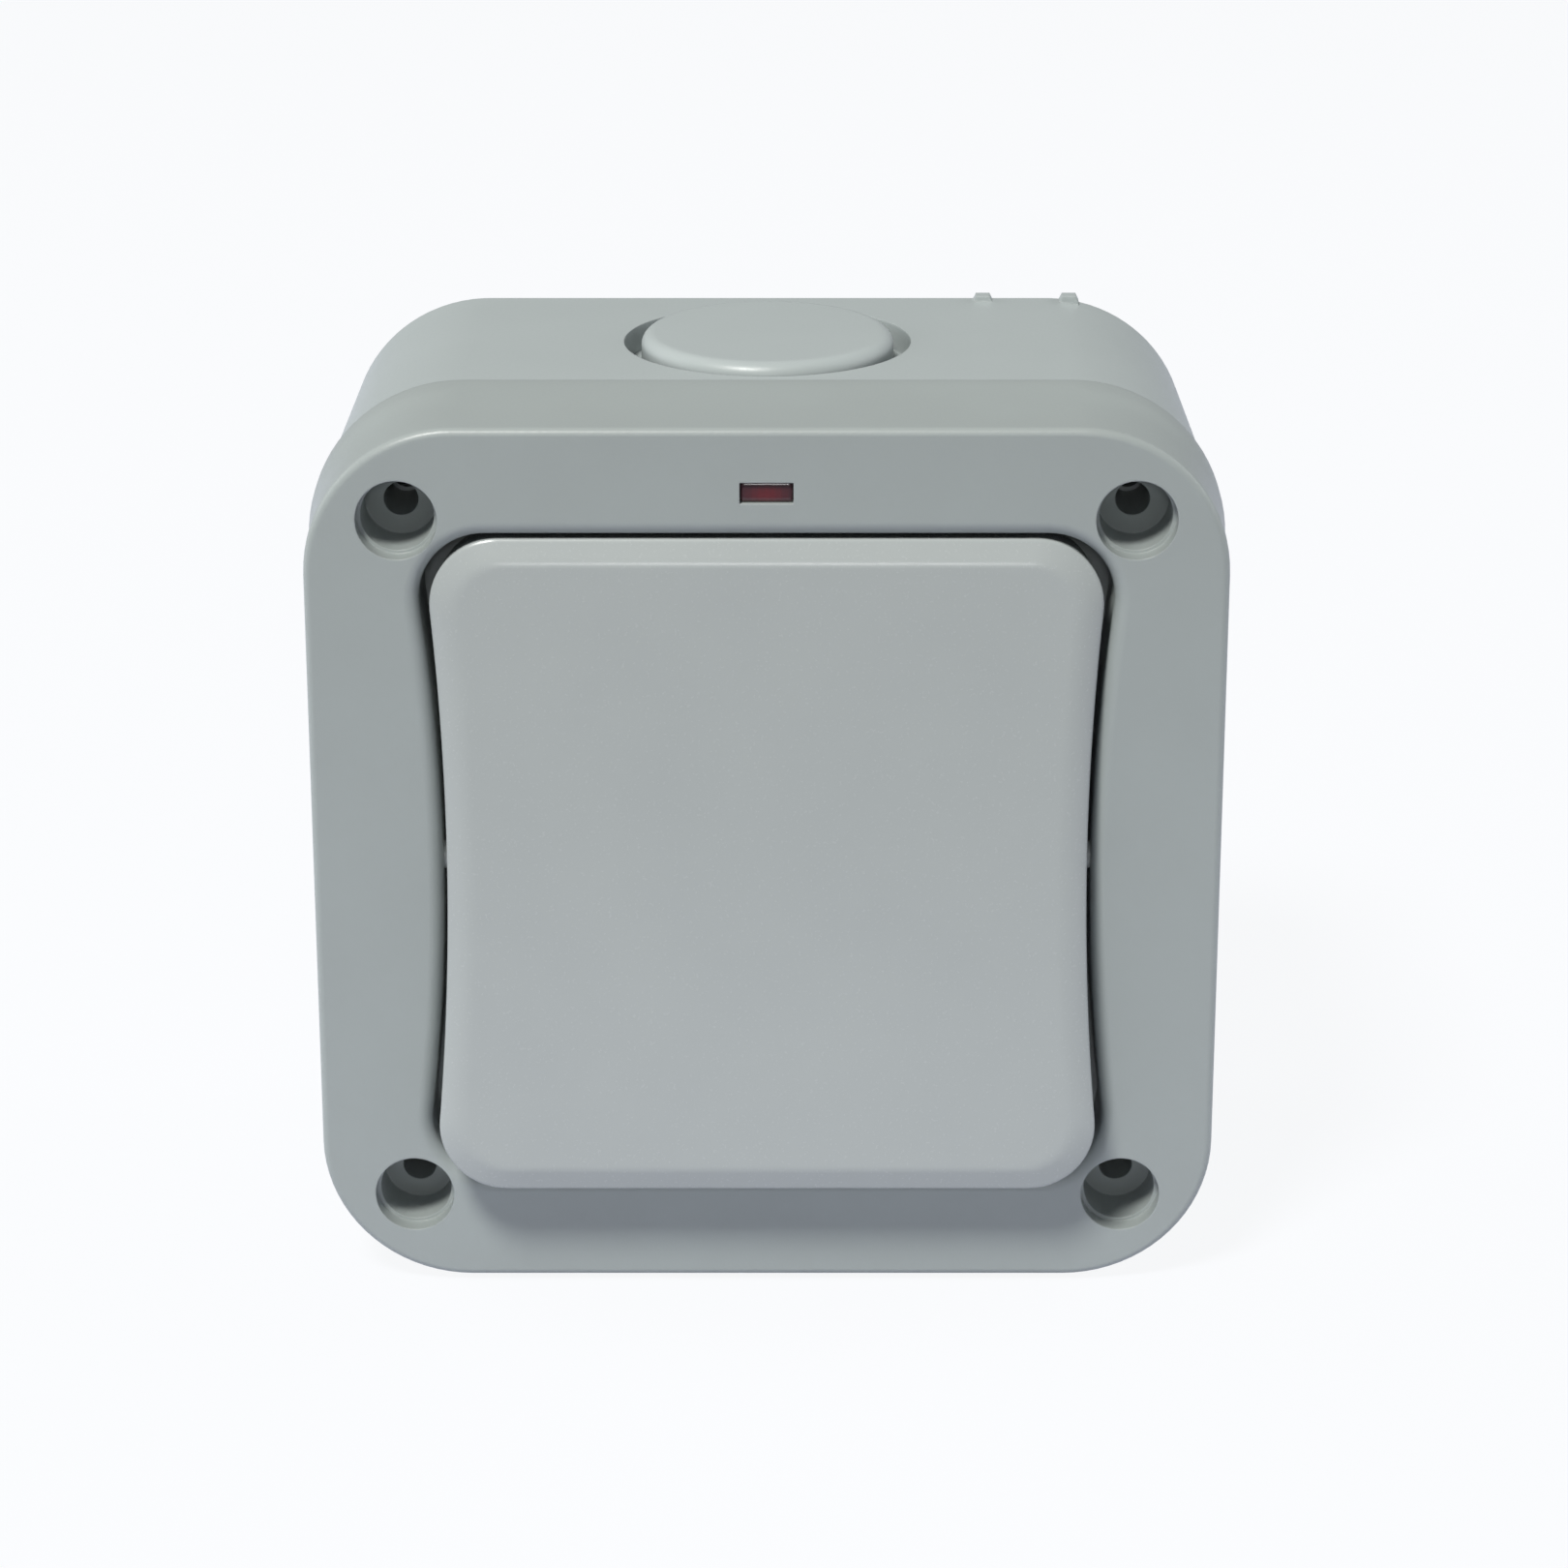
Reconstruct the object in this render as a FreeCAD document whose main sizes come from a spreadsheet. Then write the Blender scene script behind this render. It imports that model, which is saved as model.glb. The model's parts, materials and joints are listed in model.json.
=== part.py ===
"""Outdoor weatherproof switch: a sealed wall box, a screwed front cover with a large
waisted rocker and a neon window, and the double-pole mechanism that the rocker works.

Frame: origin in the middle of the back face, which lies on the wall.  X is to the right,
Y goes into the wall and Z is up, so the front looks along -Y.  Depths named "deep" are
measured from the cover's front face towards the wall.  All sizes are in millimetres.
The rocker is drawn as it rests: its top end pressed in, which is off.
"""

import FreeCAD, Part
import math
import os

import Sketcher
from FreeCAD import Placement, Rotation, Vector

# Every driving size: its name, its value and what it measures.
SIZES = [
    # the whole
    ("total_depth", 55.3, "wall face to cover face"),
    ("screw_spacing", 75.8, "cover screws, centre to centre, both ways"),
    # front cover
    ("cover_width", 95.2, "width and height of the cover's face"),
    ("cover_rear_width", 96.4, "width and height of the cover's rear lip"),
    ("cover_shoulder_width", 95.5, "width where the side starts to flare"),
    ("cover_shoulder_deep", 9.0, "depth where the side starts to flare"),
    ("cover_depth", 16.2, "cover face to cover rim"),
    ("cover_lip", 2.4, "straight rear lip of the cover"),
    ("cover_corner", 15.7, "corner radius of the cover"),
    ("cover_wall", 2.4, "wall of the cover"),
    ("cover_edge_round", 0.8, "rounding of the cover's front edge"),
    ("well_radius", 4.2, "screw well at the face"),
    ("well_step_deep", 2.0, "ledge inside the screw well"),
    ("well_inner_radius", 3.8, "screw well below the ledge"),
    ("well_deep", 7.7, "floor of the screw well"),
    ("well_wall", 1.4, "wall round the screw well"),
    ("screw_hole_radius", 1.8, "cover screw hole"),
    # rocker opening and tray
    ("opening_half_height", 36.15, "opening wall above and below the middle"),
    ("opening_waist", 34.0, "opening wall to the middle, at the waist"),
    ("waist_radius", 225.0, "radius of the opening's hollow sides"),
    ("opening_corner", 6.9, "corner radius of the opening"),
    ("opening_round", 1.6, "rounding of the opening's lip"),
    ("tray_wall", 1.8, "wall of the tray behind the opening"),
    ("tray_deep", 9.5, "floor of the tray"),
    ("tray_floor", 2.2, "thickness of the tray's floor"),
    ("tray_hole", 8.0, "half the square hole in the tray's floor"),
    # rocker
    ("rocker_gap", 0.6, "rocker to opening, at the waist"),
    ("rocker_end_gap", 0.7, "rocker to opening, at the ends"),
    ("rocker_side_radius", 300.0, "radius of the rocker's hollow sides"),
    ("rocker_proud", 3.34, "rocker face ahead of the cover face, level"),
    ("edge_side", 3.2, "width of the rocker's rounded edge along the sides"),
    ("edge_end", 3.0, "width of the rocker's rounded edge along the ends"),
    ("edge_drop", 1.04, "fall of the rocker's rounded edge"),
    ("rocker_corner", 7.0, "corner radius of the rocker"),
    ("face_corner", 4.6, "corner radius of the rocker's flat face"),
    ("rocker_skirt", 7.8, "side wall of the rocker"),
    ("skirt_draft", 0.5, "inward lean of the side wall over its length"),
    ("rocker_wall", 2.2, "wall of the rocker"),
    ("rocker_pivot_deep", 3.5, "rocker pins"),
    ("rocker_tilt", 4.5, "tilt each way from level, degrees"),
    ("rocker_pin_radius", 1.5, "rocker pin"),
    ("rocker_pin_reach", 2.1, "rocker pin inside the cover's bearing"),
    ("bearing_wall", 1.2, "cover material round the end of a rocker pin"),
    ("rocker_arm", 12.5, "rocker pins to the round tip of the drive post"),
    ("post_tip_radius", 2.0, "round tip of the drive post"),
    ("post_half_width", 3.5, "half the width of the drive post"),
    ("post_neck", 1.3, "half the thickness of the drive post at its tip"),
    ("post_root", 2.6, "half the thickness of the drive post at its root"),
    ("running_gap", 0.05, "clearance of a pin in its bearing"),
    # indicator
    ("window_height", 40.8, "middle of the window above the middle"),
    ("window_half_width", 2.75, "half the width of the window"),
    ("window_half_height", 1.1, "half the height of the window"),
    ("window_recess", 0.4, "lens behind the cover face"),
    ("lens_lip", 0.9, "step of the lens behind the window"),
    ("lens_step_deep", 1.2, "front of the lens's wide part"),
    ("lens_deep", 3.2, "back of the lens"),
    ("lamp_radius", 2.1, "neon lamp"),
    ("lamp_half_length", 6.0, "half the length of the neon lamp"),
    ("lamp_deep", 5.8, "axis of the neon lamp"),
    ("lamp_height", 41.2, "axis of the neon lamp above the middle"),
    ("wire_radius", 0.6, "lamp lead with its sleeve"),
    # gasket
    ("gasket_show", 0.4, "gasket between cover and box"),
    ("gasket_width", 1.9, "flat of the gasket"),
    ("gasket_inset", 0.4, "gasket behind the side of the box"),
    ("groove_deep", 1.5, "groove in the rim of the box"),
    ("groove_width", 1.2, "groove in the rim of the box"),
    ("groove_inset", 0.8, "groove from the side of the box"),
    # back box
    ("box_width", 95.2, "width and height of the box at its rim"),
    ("box_rear_width", 93.6, "width and height of the box at the wall"),
    ("box_corner", 15.7, "corner radius of the box"),
    ("box_wall", 2.8, "wall of the box"),
    ("box_edge_round", 0.8, "rounding of the box's rear edge"),
    ("pillar_radius", 5.0, "corner pillar"),
    ("pillar_hole_radius", 1.5, "screw hole in a pillar"),
    ("pillar_hole_deep", 20.0, "length of the screw hole in a pillar"),
    ("fixing_spacing", 60.0, "wall screws, centre to centre, both ways"),
    ("fixing_hole_radius", 2.4, "wall screw hole"),
    ("fixing_boss_radius", 5.5, "boss round a wall screw hole"),
    ("fixing_boss_height", 1.6, "boss round a wall screw hole"),
    ("nub_height", 0.65, "moulded nub above the top wall"),
    ("nub_half_width", 1.08, "half the foot of a nub"),
    ("nub_length", 1.6, "nub along the depth"),
    ("nub_first", 24.0, "first nub to the right of the middle"),
    ("nub_second", 33.6, "second nub to the right of the middle"),
    # cable entries
    ("entry_deep", 35.4, "axis of the cable entries"),
    ("entry_recess_radius", 15.5, "recess round an entry"),
    ("entry_recess", 3.0, "recess below the side of the box"),
    ("entry_wall", 3.2, "wall under the recess"),
    ("entry_hole_radius", 10.0, "threaded hole of an entry"),
    ("entry_boss_wall", 2.0, "boss wall beyond the recess"),
    ("plug_head_radius", 13.65, "head of a blanking plug"),
    ("plug_flat_radius", 12.85, "flat top of a blanking plug"),
    ("plug_proud", 1.1, "plug above the side of the box"),
    ("plug_edge_round", 1.5, "rounding of the plug's edge"),
    ("plug_shank", 6.5, "screwed part of a blanking plug"),
    ("plug_wall", 2.2, "wall of the plug's shank"),
    ("entry_seal", 1.0, "thickness of the sealing ring"),
    ("entry_seal_width", 2.6, "width of the sealing ring"),
    ("plug_gap", 0.1, "clearance of the plug's shank"),
    # seal under the rocker
    ("seal_thickness", 1.0, "flange of the rocker seal"),
    ("seal_half", 15.0, "half the square flange of the rocker seal"),
    ("seal_rise", 2.7, "boot of the rocker seal above its flange"),
    ("seal_skin", 0.8, "skin of the boot"),
    ("seal_foot", 7.0, "half the foot of the boot"),
    ("post_room_side", 0.15, "boot to the drive post, at the sides"),
    ("post_room", 1.35, "boot to the neck of the drive post, over its travel"),
    # mechanism housing
    ("plate_thickness", 2.0, "lid of the mechanism"),
    ("plate_hole_side", 5.0, "half the lid's hole, across"),
    ("plate_hole_up", 7.0, "half the lid's hole, up and down"),
    ("housing_half_width", 22.0, "half the width of the mechanism housing"),
    ("housing_half_height", 26.0, "half the height of the mechanism housing"),
    ("housing_depth", 23.8, "depth of the mechanism housing"),
    ("housing_wall", 2.0, "wall of the mechanism housing"),
    ("housing_corner", 2.0, "corner radius of the mechanism housing"),
    ("partition_half", 1.0, "half the wall between the two poles"),
    ("partition_deep", 28.5, "top of the wall between the two poles"),
    ("ear_reach", 9.0, "fixing ear beyond the housing"),
    ("ear_half", 4.5, "half the height of a fixing ear"),
    ("ear_height", 19.0, "fixing ear above and below the middle"),
    ("ear_thickness", 2.5, "fixing ear"),
    ("ear_screw_across", 27.0, "mechanism screw from the middle"),
    ("post_length", 6.0, "cover post that takes a mechanism screw"),
    ("post_radius", 3.3, "cover post that takes a mechanism screw"),
    ("small_screw_radius", 1.45, "mechanism screw"),
    ("small_head_radius", 2.8, "head of a mechanism screw"),
    ("small_head_height", 2.0, "head of a mechanism screw"),
    ("small_screw_length", 7.6, "mechanism screw under its head"),
    # dolly, plungers and springs
    ("dolly_arm", 6.0, "dolly axis to the tip of the drive post"),
    ("dolly_half_length", 13.5, "half the length of the dolly's beam"),
    ("dolly_beam", 3.0, "half the thickness of the dolly's beam"),
    ("fork_reach", 7.4, "dolly axis to the ends of the fork's jaws"),
    ("fork_wall", 2.0, "jaw of the dolly's fork"),
    ("fork_half_width", 4.0, "half the width of the dolly's fork"),
    ("axle_radius", 1.5, "axle stub of the dolly"),
    ("axle_length", 3.4, "axle stub of the dolly"),
    ("bearing_post_width", 3.0, "bearing post in the housing"),
    ("bearing_post_half", 4.0, "half the height of a bearing post"),
    ("pole_half", 10.0, "each pole from the middle"),
    ("plunger_reach", 8.5, "dolly axis to the plunger's tip"),
    ("plunger_radius", 2.2, "plunger"),
    ("plunger_length", 7.5, "plunger"),
    ("guide_wall", 1.4, "wall of the plunger's guide"),
    ("guide_end", 5.5, "dolly axis to the mouth of the guide"),
    ("guide_bottom", 0.6, "floor of the guide ahead of the dolly axis"),
    ("spring_radius", 1.35, "mean radius of the plunger's spring"),
    ("spring_wire", 0.28, "radius of the spring's wire"),
    ("spring_turns", 5.0, "turns of the spring"),
    # contacts and terminals
    ("contact_gap", 0.1, "plunger to moving contact, level"),
    ("contact_thickness", 1.0, "moving contact strip"),
    ("contact_half_width", 3.0, "half the width of the moving contact"),
    ("contact_half_length", 9.0, "half the length of the moving contact"),
    ("contact_tilt", 4.0, "tilt of the moving contact each way, degrees"),
    ("tip_radius", 1.75, "silver tip"),
    ("tip_thickness", 1.0, "silver tip on the moving contact"),
    ("tip_from_pivot", 7.5, "silver tip from the knife edge"),
    ("fixed_tip_thickness", 0.8, "silver tip on the fixed contact"),
    ("lug_thickness", 0.7, "side lug of the moving contact"),
    ("lug_length", 2.0, "side lug of the moving contact"),
    ("knife_half", 0.6, "half the thickness of the knife-edge upright"),
    ("knife_edge", 0.15, "half the width of the knife edge"),
    ("strip_thickness", 1.0, "brass strip of a terminal"),
    ("terminal_half_width", 4.0, "half the width of a terminal block"),
    ("terminal_inner", 15.0, "inner end of a terminal block"),
    ("terminal_outer", 23.8, "outer end of a terminal block"),
    ("terminal_height", 8.0, "height of a terminal block"),
    ("terminal_bore", 2.3, "wire bore of a terminal block"),
    ("terminal_screw_radius", 1.75, "terminal screw"),
    ("terminal_head_radius", 2.9, "head of a terminal screw"),
    ("terminal_screw_length", 2.2, "terminal screw under its head"),
    ("screw_slot_width", 0.8, "slot in a screw head"),
    ("screw_slot_deep", 0.8, "slot in a screw head"),
    # earth terminal in the box
    ("earth_half_width", 4.0, "half the width of the earth terminal"),
    ("earth_half_height", 5.0, "half the height of the earth terminal"),
    ("earth_height", 8.0, "height of the earth terminal"),
    ("earth_drop", 20.0, "earth terminal below the middle"),
    ("earth_cheek", 1.5, "moulded cheek beside the earth terminal"),
    ("earth_cheek_height", 5.0, "moulded cheek beside the earth terminal"),
]

WALL = "wall"
FRONT = "front"
RIGHT = "right"
LEFT = "left"
UP = "up"
DOWN = "down"
BOTH = "both"

# The two ways along each sketch plane's normal: with it and against it.
PLANES = {
    "XZ_Plane": (FRONT, WALL),
    "YZ_Plane": (RIGHT, LEFT),
    "XY_Plane": (UP, DOWN),
}

# The rocker's rounded edge in steps up to its face: how much of the fall is left, and
# how much of the width is used, along the sides and along the ends.
EDGE_STEPS = [
    (0.72, 0.14, 0.22),
    (0.45, 0.31, 0.44),
    (0.13, 0.63, 0.72),
    (0, 1, 1),
]

# The middle of a sketch and its two axes, as the sketcher numbers them.
ORIGIN = (-1, 1)
ACROSS_AXIS = -1
UP_AXIS = -2

doc = FreeCAD.newDocument("weatherproof_switch")


def make_sheet():
    """Puts every driving size in the document's sheet, one row each."""
    sheet = doc.addObject("Spreadsheet::Sheet", "Size")
    for row, (name, value, meaning) in enumerate(SIZES, start=1):
        sheet.set(f"A{row}", meaning)
        sheet.set(f"B{row}", str(value))
        sheet.setAlias(f"B{row}", name)
    doc.recompute()
    return sheet


Size = make_sheet()


def value(expression):
    """The number that an expression on the sheet stands for now."""
    return float(Size.evalExpression(str(expression)))


def bind(thing, where, expression):
    """Binds a property to an expression, or sets it where no size is named."""
    if "Size." in str(expression):
        thing.setExpression(where, expression)
    else:
        thing.setExpression(where, f"{expression} + 0")


# Places that several pieces share, as expressions on the sheet.
SCREW = "Size.screw_spacing / 2"
FIXING = "Size.fixing_spacing / 2"
RIM = "Size.cover_depth"
BOX_RIM = "Size.cover_depth + Size.gasket_show"
BOX_FLOOR = "Size.total_depth - Size.box_wall"
TRAY_BACK = "Size.tray_deep + Size.tray_floor"
PLATE_FRONT = "Size.tray_deep + Size.tray_floor + Size.seal_thickness"
HOUSING_FRONT = f"{PLATE_FRONT} + Size.plate_thickness"
HOUSING_BACK = f"{HOUSING_FRONT} + Size.housing_depth"
HOUSING_FLOOR = f"{HOUSING_BACK} - Size.housing_wall"
EAR_FRONT = f"{TRAY_BACK} + Size.post_length"
EAR_BACK = f"{EAR_FRONT} + Size.ear_thickness"
DOLLY_DEEP = "Size.rocker_pivot_deep + Size.rocker_arm + Size.dolly_arm"
DOLLY_TILT = "(Size.rocker_tilt * Size.rocker_arm / Size.dolly_arm)"
PLUNGER_TIP = f"{DOLLY_DEEP} + Size.plunger_reach"
CONTACT_PIVOT = (
    f"{PLUNGER_TIP} + Size.contact_gap + Size.contact_thickness + Size.running_gap"
)
BLOCK_FRONT = f"{HOUSING_FLOOR} - Size.terminal_height"
WIRE_DEEP = f"{HOUSING_FLOOR} - Size.terminal_height / 2"
TERMINAL_MIDDLE = "(Size.terminal_inner + Size.terminal_outer) / 2"
# The box leans in by its draft, so its side at the entries lies between rim and wall.
BOX_LEAN = "(Size.box_width - Size.box_rear_width) / 2"
ENTRY_SIDE = (
    f"Size.box_width / 2 - {BOX_LEAN} * (Size.entry_deep - ({BOX_RIM}))"
    f" / (Size.total_depth - ({BOX_RIM}))"
)
RECESS_FLOOR = f"{ENTRY_SIDE} - Size.entry_recess"


class Piece:
    """A separate solid of the switch, built as one body from sketches.

    Depths are measured from the body's own datum plane: the cover face for fixed
    pieces, and the turning axis for pieces that are drawn about it.
    """

    def __init__(self, label, datum="Size.total_depth", several=False):
        self.body = doc.addObject("PartDesign::Body", label)
        self.body.Label = label
        self.body.AllowCompound = several
        self.datum = datum
        self.plane_of = {}
        self.count = 0

    def name(self, word):
        """A feature name that no other piece has."""
        self.count += 1
        return f"{self.body.Label}_{word}_{self.count}"

    def sketch(self, role, offset):
        """An empty sketch parallel to one of the body's own planes."""
        plane = [f for f in self.body.Origin.OriginFeatures if f.Role == role][0]
        sketch = self.body.newObject("Sketcher::SketchObject", self.name("sketch"))
        sketch.AttachmentSupport = (plane, "")
        sketch.MapMode = "FlatFace"
        bind(sketch, "AttachmentOffset.Base.z", offset)
        self.plane_of[sketch.Name] = role
        return sketch

    def front_sketch(self, deep):
        """A sketch across the front: its x is X and its y is Z."""
        return self.sketch("XZ_Plane", f"{self.datum} - ({deep})")

    def side_sketch(self, across="0"):
        """A sketch seen from the right: its x is Y and its y is Z."""
        return self.sketch("YZ_Plane", across)

    def plan_sketch(self, height="0"):
        """A sketch seen from above: its x is X and its y is Y."""
        return self.sketch("XY_Plane", height)

    def y_of(self, deep):
        """The body's own y of a depth behind the cover face."""
        return f"({deep}) - ({self.datum})"

    def extrude(self, kind, sketch, length, way):
        """A pad or a pocket of the sketch, on the named side of its plane."""
        before = self.body.Shape.Volume if self.body.Tip else 0.0
        feature = self.body.newObject(f"PartDesign::{kind}", self.name(kind.lower()))
        feature.Profile = sketch
        bind(feature, "Length", length)
        along, against = PLANES[self.plane_of[sketch.Name]]
        if way == BOTH:
            feature.SideType = "Symmetric"
        elif kind == "Pad":
            feature.Reversed = way == against
        else:
            feature.Reversed = way == along
        doc.recompute()
        after = feature.Shape.Volume
        if abs(after - before) < 1e-6:
            raise RuntimeError(f"{feature.Name} changes nothing")
        return feature

    def pad(self, sketch, length, way=WALL):
        return self.extrude("Pad", sketch, length, way)

    def pocket(self, sketch, length, way=WALL):
        return self.extrude("Pocket", sketch, length, way)

    def loft(self, kind, sketches, ruled=True):
        """A straight or smooth loft through the sketches, from the wall side forwards."""
        feature = self.body.newObject(f"PartDesign::{kind}Loft", self.name("loft"))
        feature.Profile = sketches[0]
        feature.Sections = sketches[1:]
        feature.Ruled = ruled
        doc.recompute()
        return feature

    def revolve(self, sketch):
        """A full turn of the sketch about its own upright axis."""
        feature = self.body.newObject("PartDesign::Revolution", self.name("turned"))
        feature.Profile = sketch
        feature.ReferenceAxis = (sketch, ["V_Axis"])
        feature.Angle = 360
        doc.recompute()
        return feature

    def round_edges(self, radius, wanted):
        """Rounds every edge of the body for which wanted(edge) is true."""
        base = self.body.Tip
        names = [
            f"Edge{number}"
            for number, edge in enumerate(base.Shape.Edges, start=1)
            if wanted(edge)
        ]
        if not names:
            raise RuntimeError(f"{self.body.Label} has no such edge to round")
        feature = self.body.newObject("PartDesign::Fillet", self.name("round"))
        feature.Base = (base, names)
        bind(feature, "Radius", radius)
        doc.recompute()
        return feature

    def place(self, across="0", deep=None, height="0", turn=None):
        """Puts the body's own origin at a depth, turned about X by an angle."""
        self.body.Placement = Placement(Vector(), Rotation(Vector(1, 0, 0), 10))
        bind(self.body, "Placement.Base.x", across)
        if deep is not None:
            bind(self.body, "Placement.Base.y", f"({deep}) - Size.total_depth")
        bind(self.body, "Placement.Base.z", height)
        bind(self.body, "Placement.Rotation.Angle", turn or "0")


def dimension(sketch, kind, places, expression):
    """Adds a measured constraint and binds it to the expression."""
    number = sketch.addConstraint(
        Sketcher.Constraint(kind, *places, value(expression))
    )
    bind(sketch, f"Constraints[{number}]", expression)


def pin(sketch, point, x, y):
    """Holds a point of the sketch at x and y from the sketch's middle."""
    if x == "0":
        sketch.addConstraint(Sketcher.Constraint("PointOnObject", *point, UP_AXIS))
    else:
        dimension(sketch, "DistanceX", (*ORIGIN, *point), x)
    if y == "0":
        sketch.addConstraint(Sketcher.Constraint("PointOnObject", *point, ACROSS_AXIS))
    else:
        dimension(sketch, "DistanceY", (*ORIGIN, *point), y)


def draw_circle(sketch, radius, x="0", y="0"):
    """A circle about x and y."""
    centre = Vector(value(x), value(y), 0)
    shape = Part.Circle(centre, Vector(0, 0, 1), value(radius))
    number = sketch.addGeometry(shape)
    pin(sketch, (number, 3), x, y)
    dimension(sketch, "Radius", (number,), radius)


def draw_polygon(sketch, corners):
    """A closed outline of straight lines through the corners, given as expressions."""
    first = sketch.GeometryCount
    points = [Vector(value(x), value(y), 0) for x, y in corners]
    for start, end in zip(points, points[1:] + points[:1]):
        sketch.addGeometry(Part.LineSegment(start, end))
    for number, (x, y) in enumerate(corners):
        after = first + number
        before = first + (number - 1) % len(corners)
        sketch.addConstraint(Sketcher.Constraint("Coincident", before, 2, after, 1))
        pin(sketch, (after, 1), x, y)


def draw_rectangle(sketch, half_x, half_y, x="0", y="0"):
    """A sharp rectangle about x and y."""
    left, right = f"{x} - ({half_x})", f"{x} + ({half_x})"
    low, high = f"{y} - ({half_y})", f"{y} + ({half_y})"
    draw_polygon(sketch, [(left, low), (right, low), (right, high), (left, high)])


def join_smoothly(sketch, joints):
    """Makes each pair of curve ends meet and run on in one direction."""
    for joint in joints:
        sketch.addConstraint(Sketcher.Constraint("Tangent", *joint))


def draw_arc(sketch, x, y, radius, start, end):
    """An arc about x and y, anticlockwise between two angles in degrees."""
    circle = Part.Circle(Vector(x, y, 0), Vector(0, 0, 1), radius)
    arc = Part.ArcOfCircle(circle, math.radians(start), math.radians(end))
    return sketch.addGeometry(arc)


def draw_rounded(sketch, half_x, half_y, radius):
    """A rectangle about the middle with rounded corners."""
    w, h, r = value(half_x), value(half_y), value(radius)
    arcs = []
    for quarter, (sx, sy) in enumerate([(1, 1), (-1, 1), (-1, -1), (1, -1)]):
        start = 90 * quarter
        arcs.append(draw_arc(sketch, sx * (w - r), sy * (h - r), r, start, start + 90))
    ends = [
        (Vector(w - r, h, 0), Vector(r - w, h, 0)),
        (Vector(-w, h - r, 0), Vector(-w, r - h, 0)),
        (Vector(r - w, -h, 0), Vector(w - r, -h, 0)),
        (Vector(w, r - h, 0), Vector(w, h - r, 0)),
    ]
    lines = [sketch.addGeometry(Part.LineSegment(*pair)) for pair in ends]
    joints = []
    for number in range(4):
        joints.append((arcs[number], 2, lines[number], 1))
        joints.append((lines[number], 2, arcs[(number + 1) % 4], 1))
    join_smoothly(sketch, joints)
    for number in (0, 2):
        sketch.addConstraint(Sketcher.Constraint("Horizontal", lines[number]))
    for number in (1, 3):
        sketch.addConstraint(Sketcher.Constraint("Vertical", lines[number]))
    for number in (1, 2, 3):
        sketch.addConstraint(Sketcher.Constraint("Equal", arcs[0], arcs[number]))
    sketch.addConstraint(Sketcher.Constraint("Symmetric", arcs[0], 3, arcs[2], 3, -1, 1))
    dimension(sketch, "DistanceX", (*ORIGIN, lines[3], 1), half_x)
    dimension(sketch, "DistanceY", (*ORIGIN, lines[0], 1), half_y)
    dimension(sketch, "Radius", (arcs[0],), radius)


def draw_waisted(sketch, half_height, waist, side_radius, corner):
    """The rocker's outline: straight ends, hollow sides and rounded corners."""
    h, w = value(half_height), value(waist)
    big, r = value(side_radius), value(corner)
    side_x = w + big
    corner_y = h - r
    corner_x = side_x - math.sqrt((big + r) ** 2 - corner_y**2)
    lean = math.degrees(math.atan2(corner_y, side_x - corner_x))
    top_right = draw_arc(sketch, corner_x, corner_y, r, -lean, 90)
    top_left = draw_arc(sketch, -corner_x, corner_y, r, 90, 180 + lean)
    low_left = draw_arc(sketch, -corner_x, -corner_y, r, 180 - lean, 270)
    low_right = draw_arc(sketch, corner_x, -corner_y, r, 270, 360 + lean)
    left = draw_arc(sketch, -side_x, 0, big, -lean, lean)
    right = draw_arc(sketch, side_x, 0, big, 180 - lean, 180 + lean)
    top = sketch.addGeometry(
        Part.LineSegment(Vector(corner_x, h, 0), Vector(-corner_x, h, 0))
    )
    low = sketch.addGeometry(
        Part.LineSegment(Vector(-corner_x, -h, 0), Vector(corner_x, -h, 0))
    )
    join_smoothly(
        sketch,
        [
            (top_right, 2, top, 1),
            (top, 2, top_left, 1),
            (top_left, 2, left, 2),
            (left, 1, low_left, 1),
            (low_left, 2, low, 1),
            (low, 2, low_right, 1),
            (low_right, 2, right, 2),
            (right, 1, top_right, 1),
        ],
    )
    for line in (top, low):
        sketch.addConstraint(Sketcher.Constraint("Horizontal", line))
    for arc in (top_left, low_left, low_right):
        sketch.addConstraint(Sketcher.Constraint("Equal", top_right, arc))
    sketch.addConstraint(Sketcher.Constraint("Equal", left, right))
    for arc in (left, right):
        sketch.addConstraint(Sketcher.Constraint("PointOnObject", arc, 3, ACROSS_AXIS))
    dimension(sketch, "DistanceX", (*ORIGIN, right, 3), f"{waist} + ({side_radius})")
    dimension(sketch, "DistanceX", (left, 3, *ORIGIN), f"{waist} + ({side_radius})")
    dimension(sketch, "DistanceY", (*ORIGIN, top, 1), half_height)
    dimension(sketch, "DistanceY", (low, 1, *ORIGIN), half_height)
    dimension(sketch, "Radius", (right,), side_radius)
    dimension(sketch, "Radius", (top_right,), corner)


def four_corners(half_x, half_y=None):
    """The four places at plus and minus half_x and half_y."""
    half_y = half_y or half_x
    return [
        (f"{sx}({half_x})", f"{sy}({half_y})") for sx in ("", "-") for sy in ("", "-")
    ]


def at_depth(piece, deep):
    """A test for edges that lie flat at one depth of a piece."""
    y = value(piece.y_of(deep))
    return lambda edge: abs(edge.BoundBox.YMin - y) < 1e-4 and abs(edge.BoundBox.YMax - y) < 1e-4


def spans(edge):
    """How far an edge reaches from the body's middle, across or up."""
    box = edge.BoundBox
    return max(abs(box.XMin), abs(box.XMax), abs(box.ZMin), abs(box.ZMax))


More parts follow.
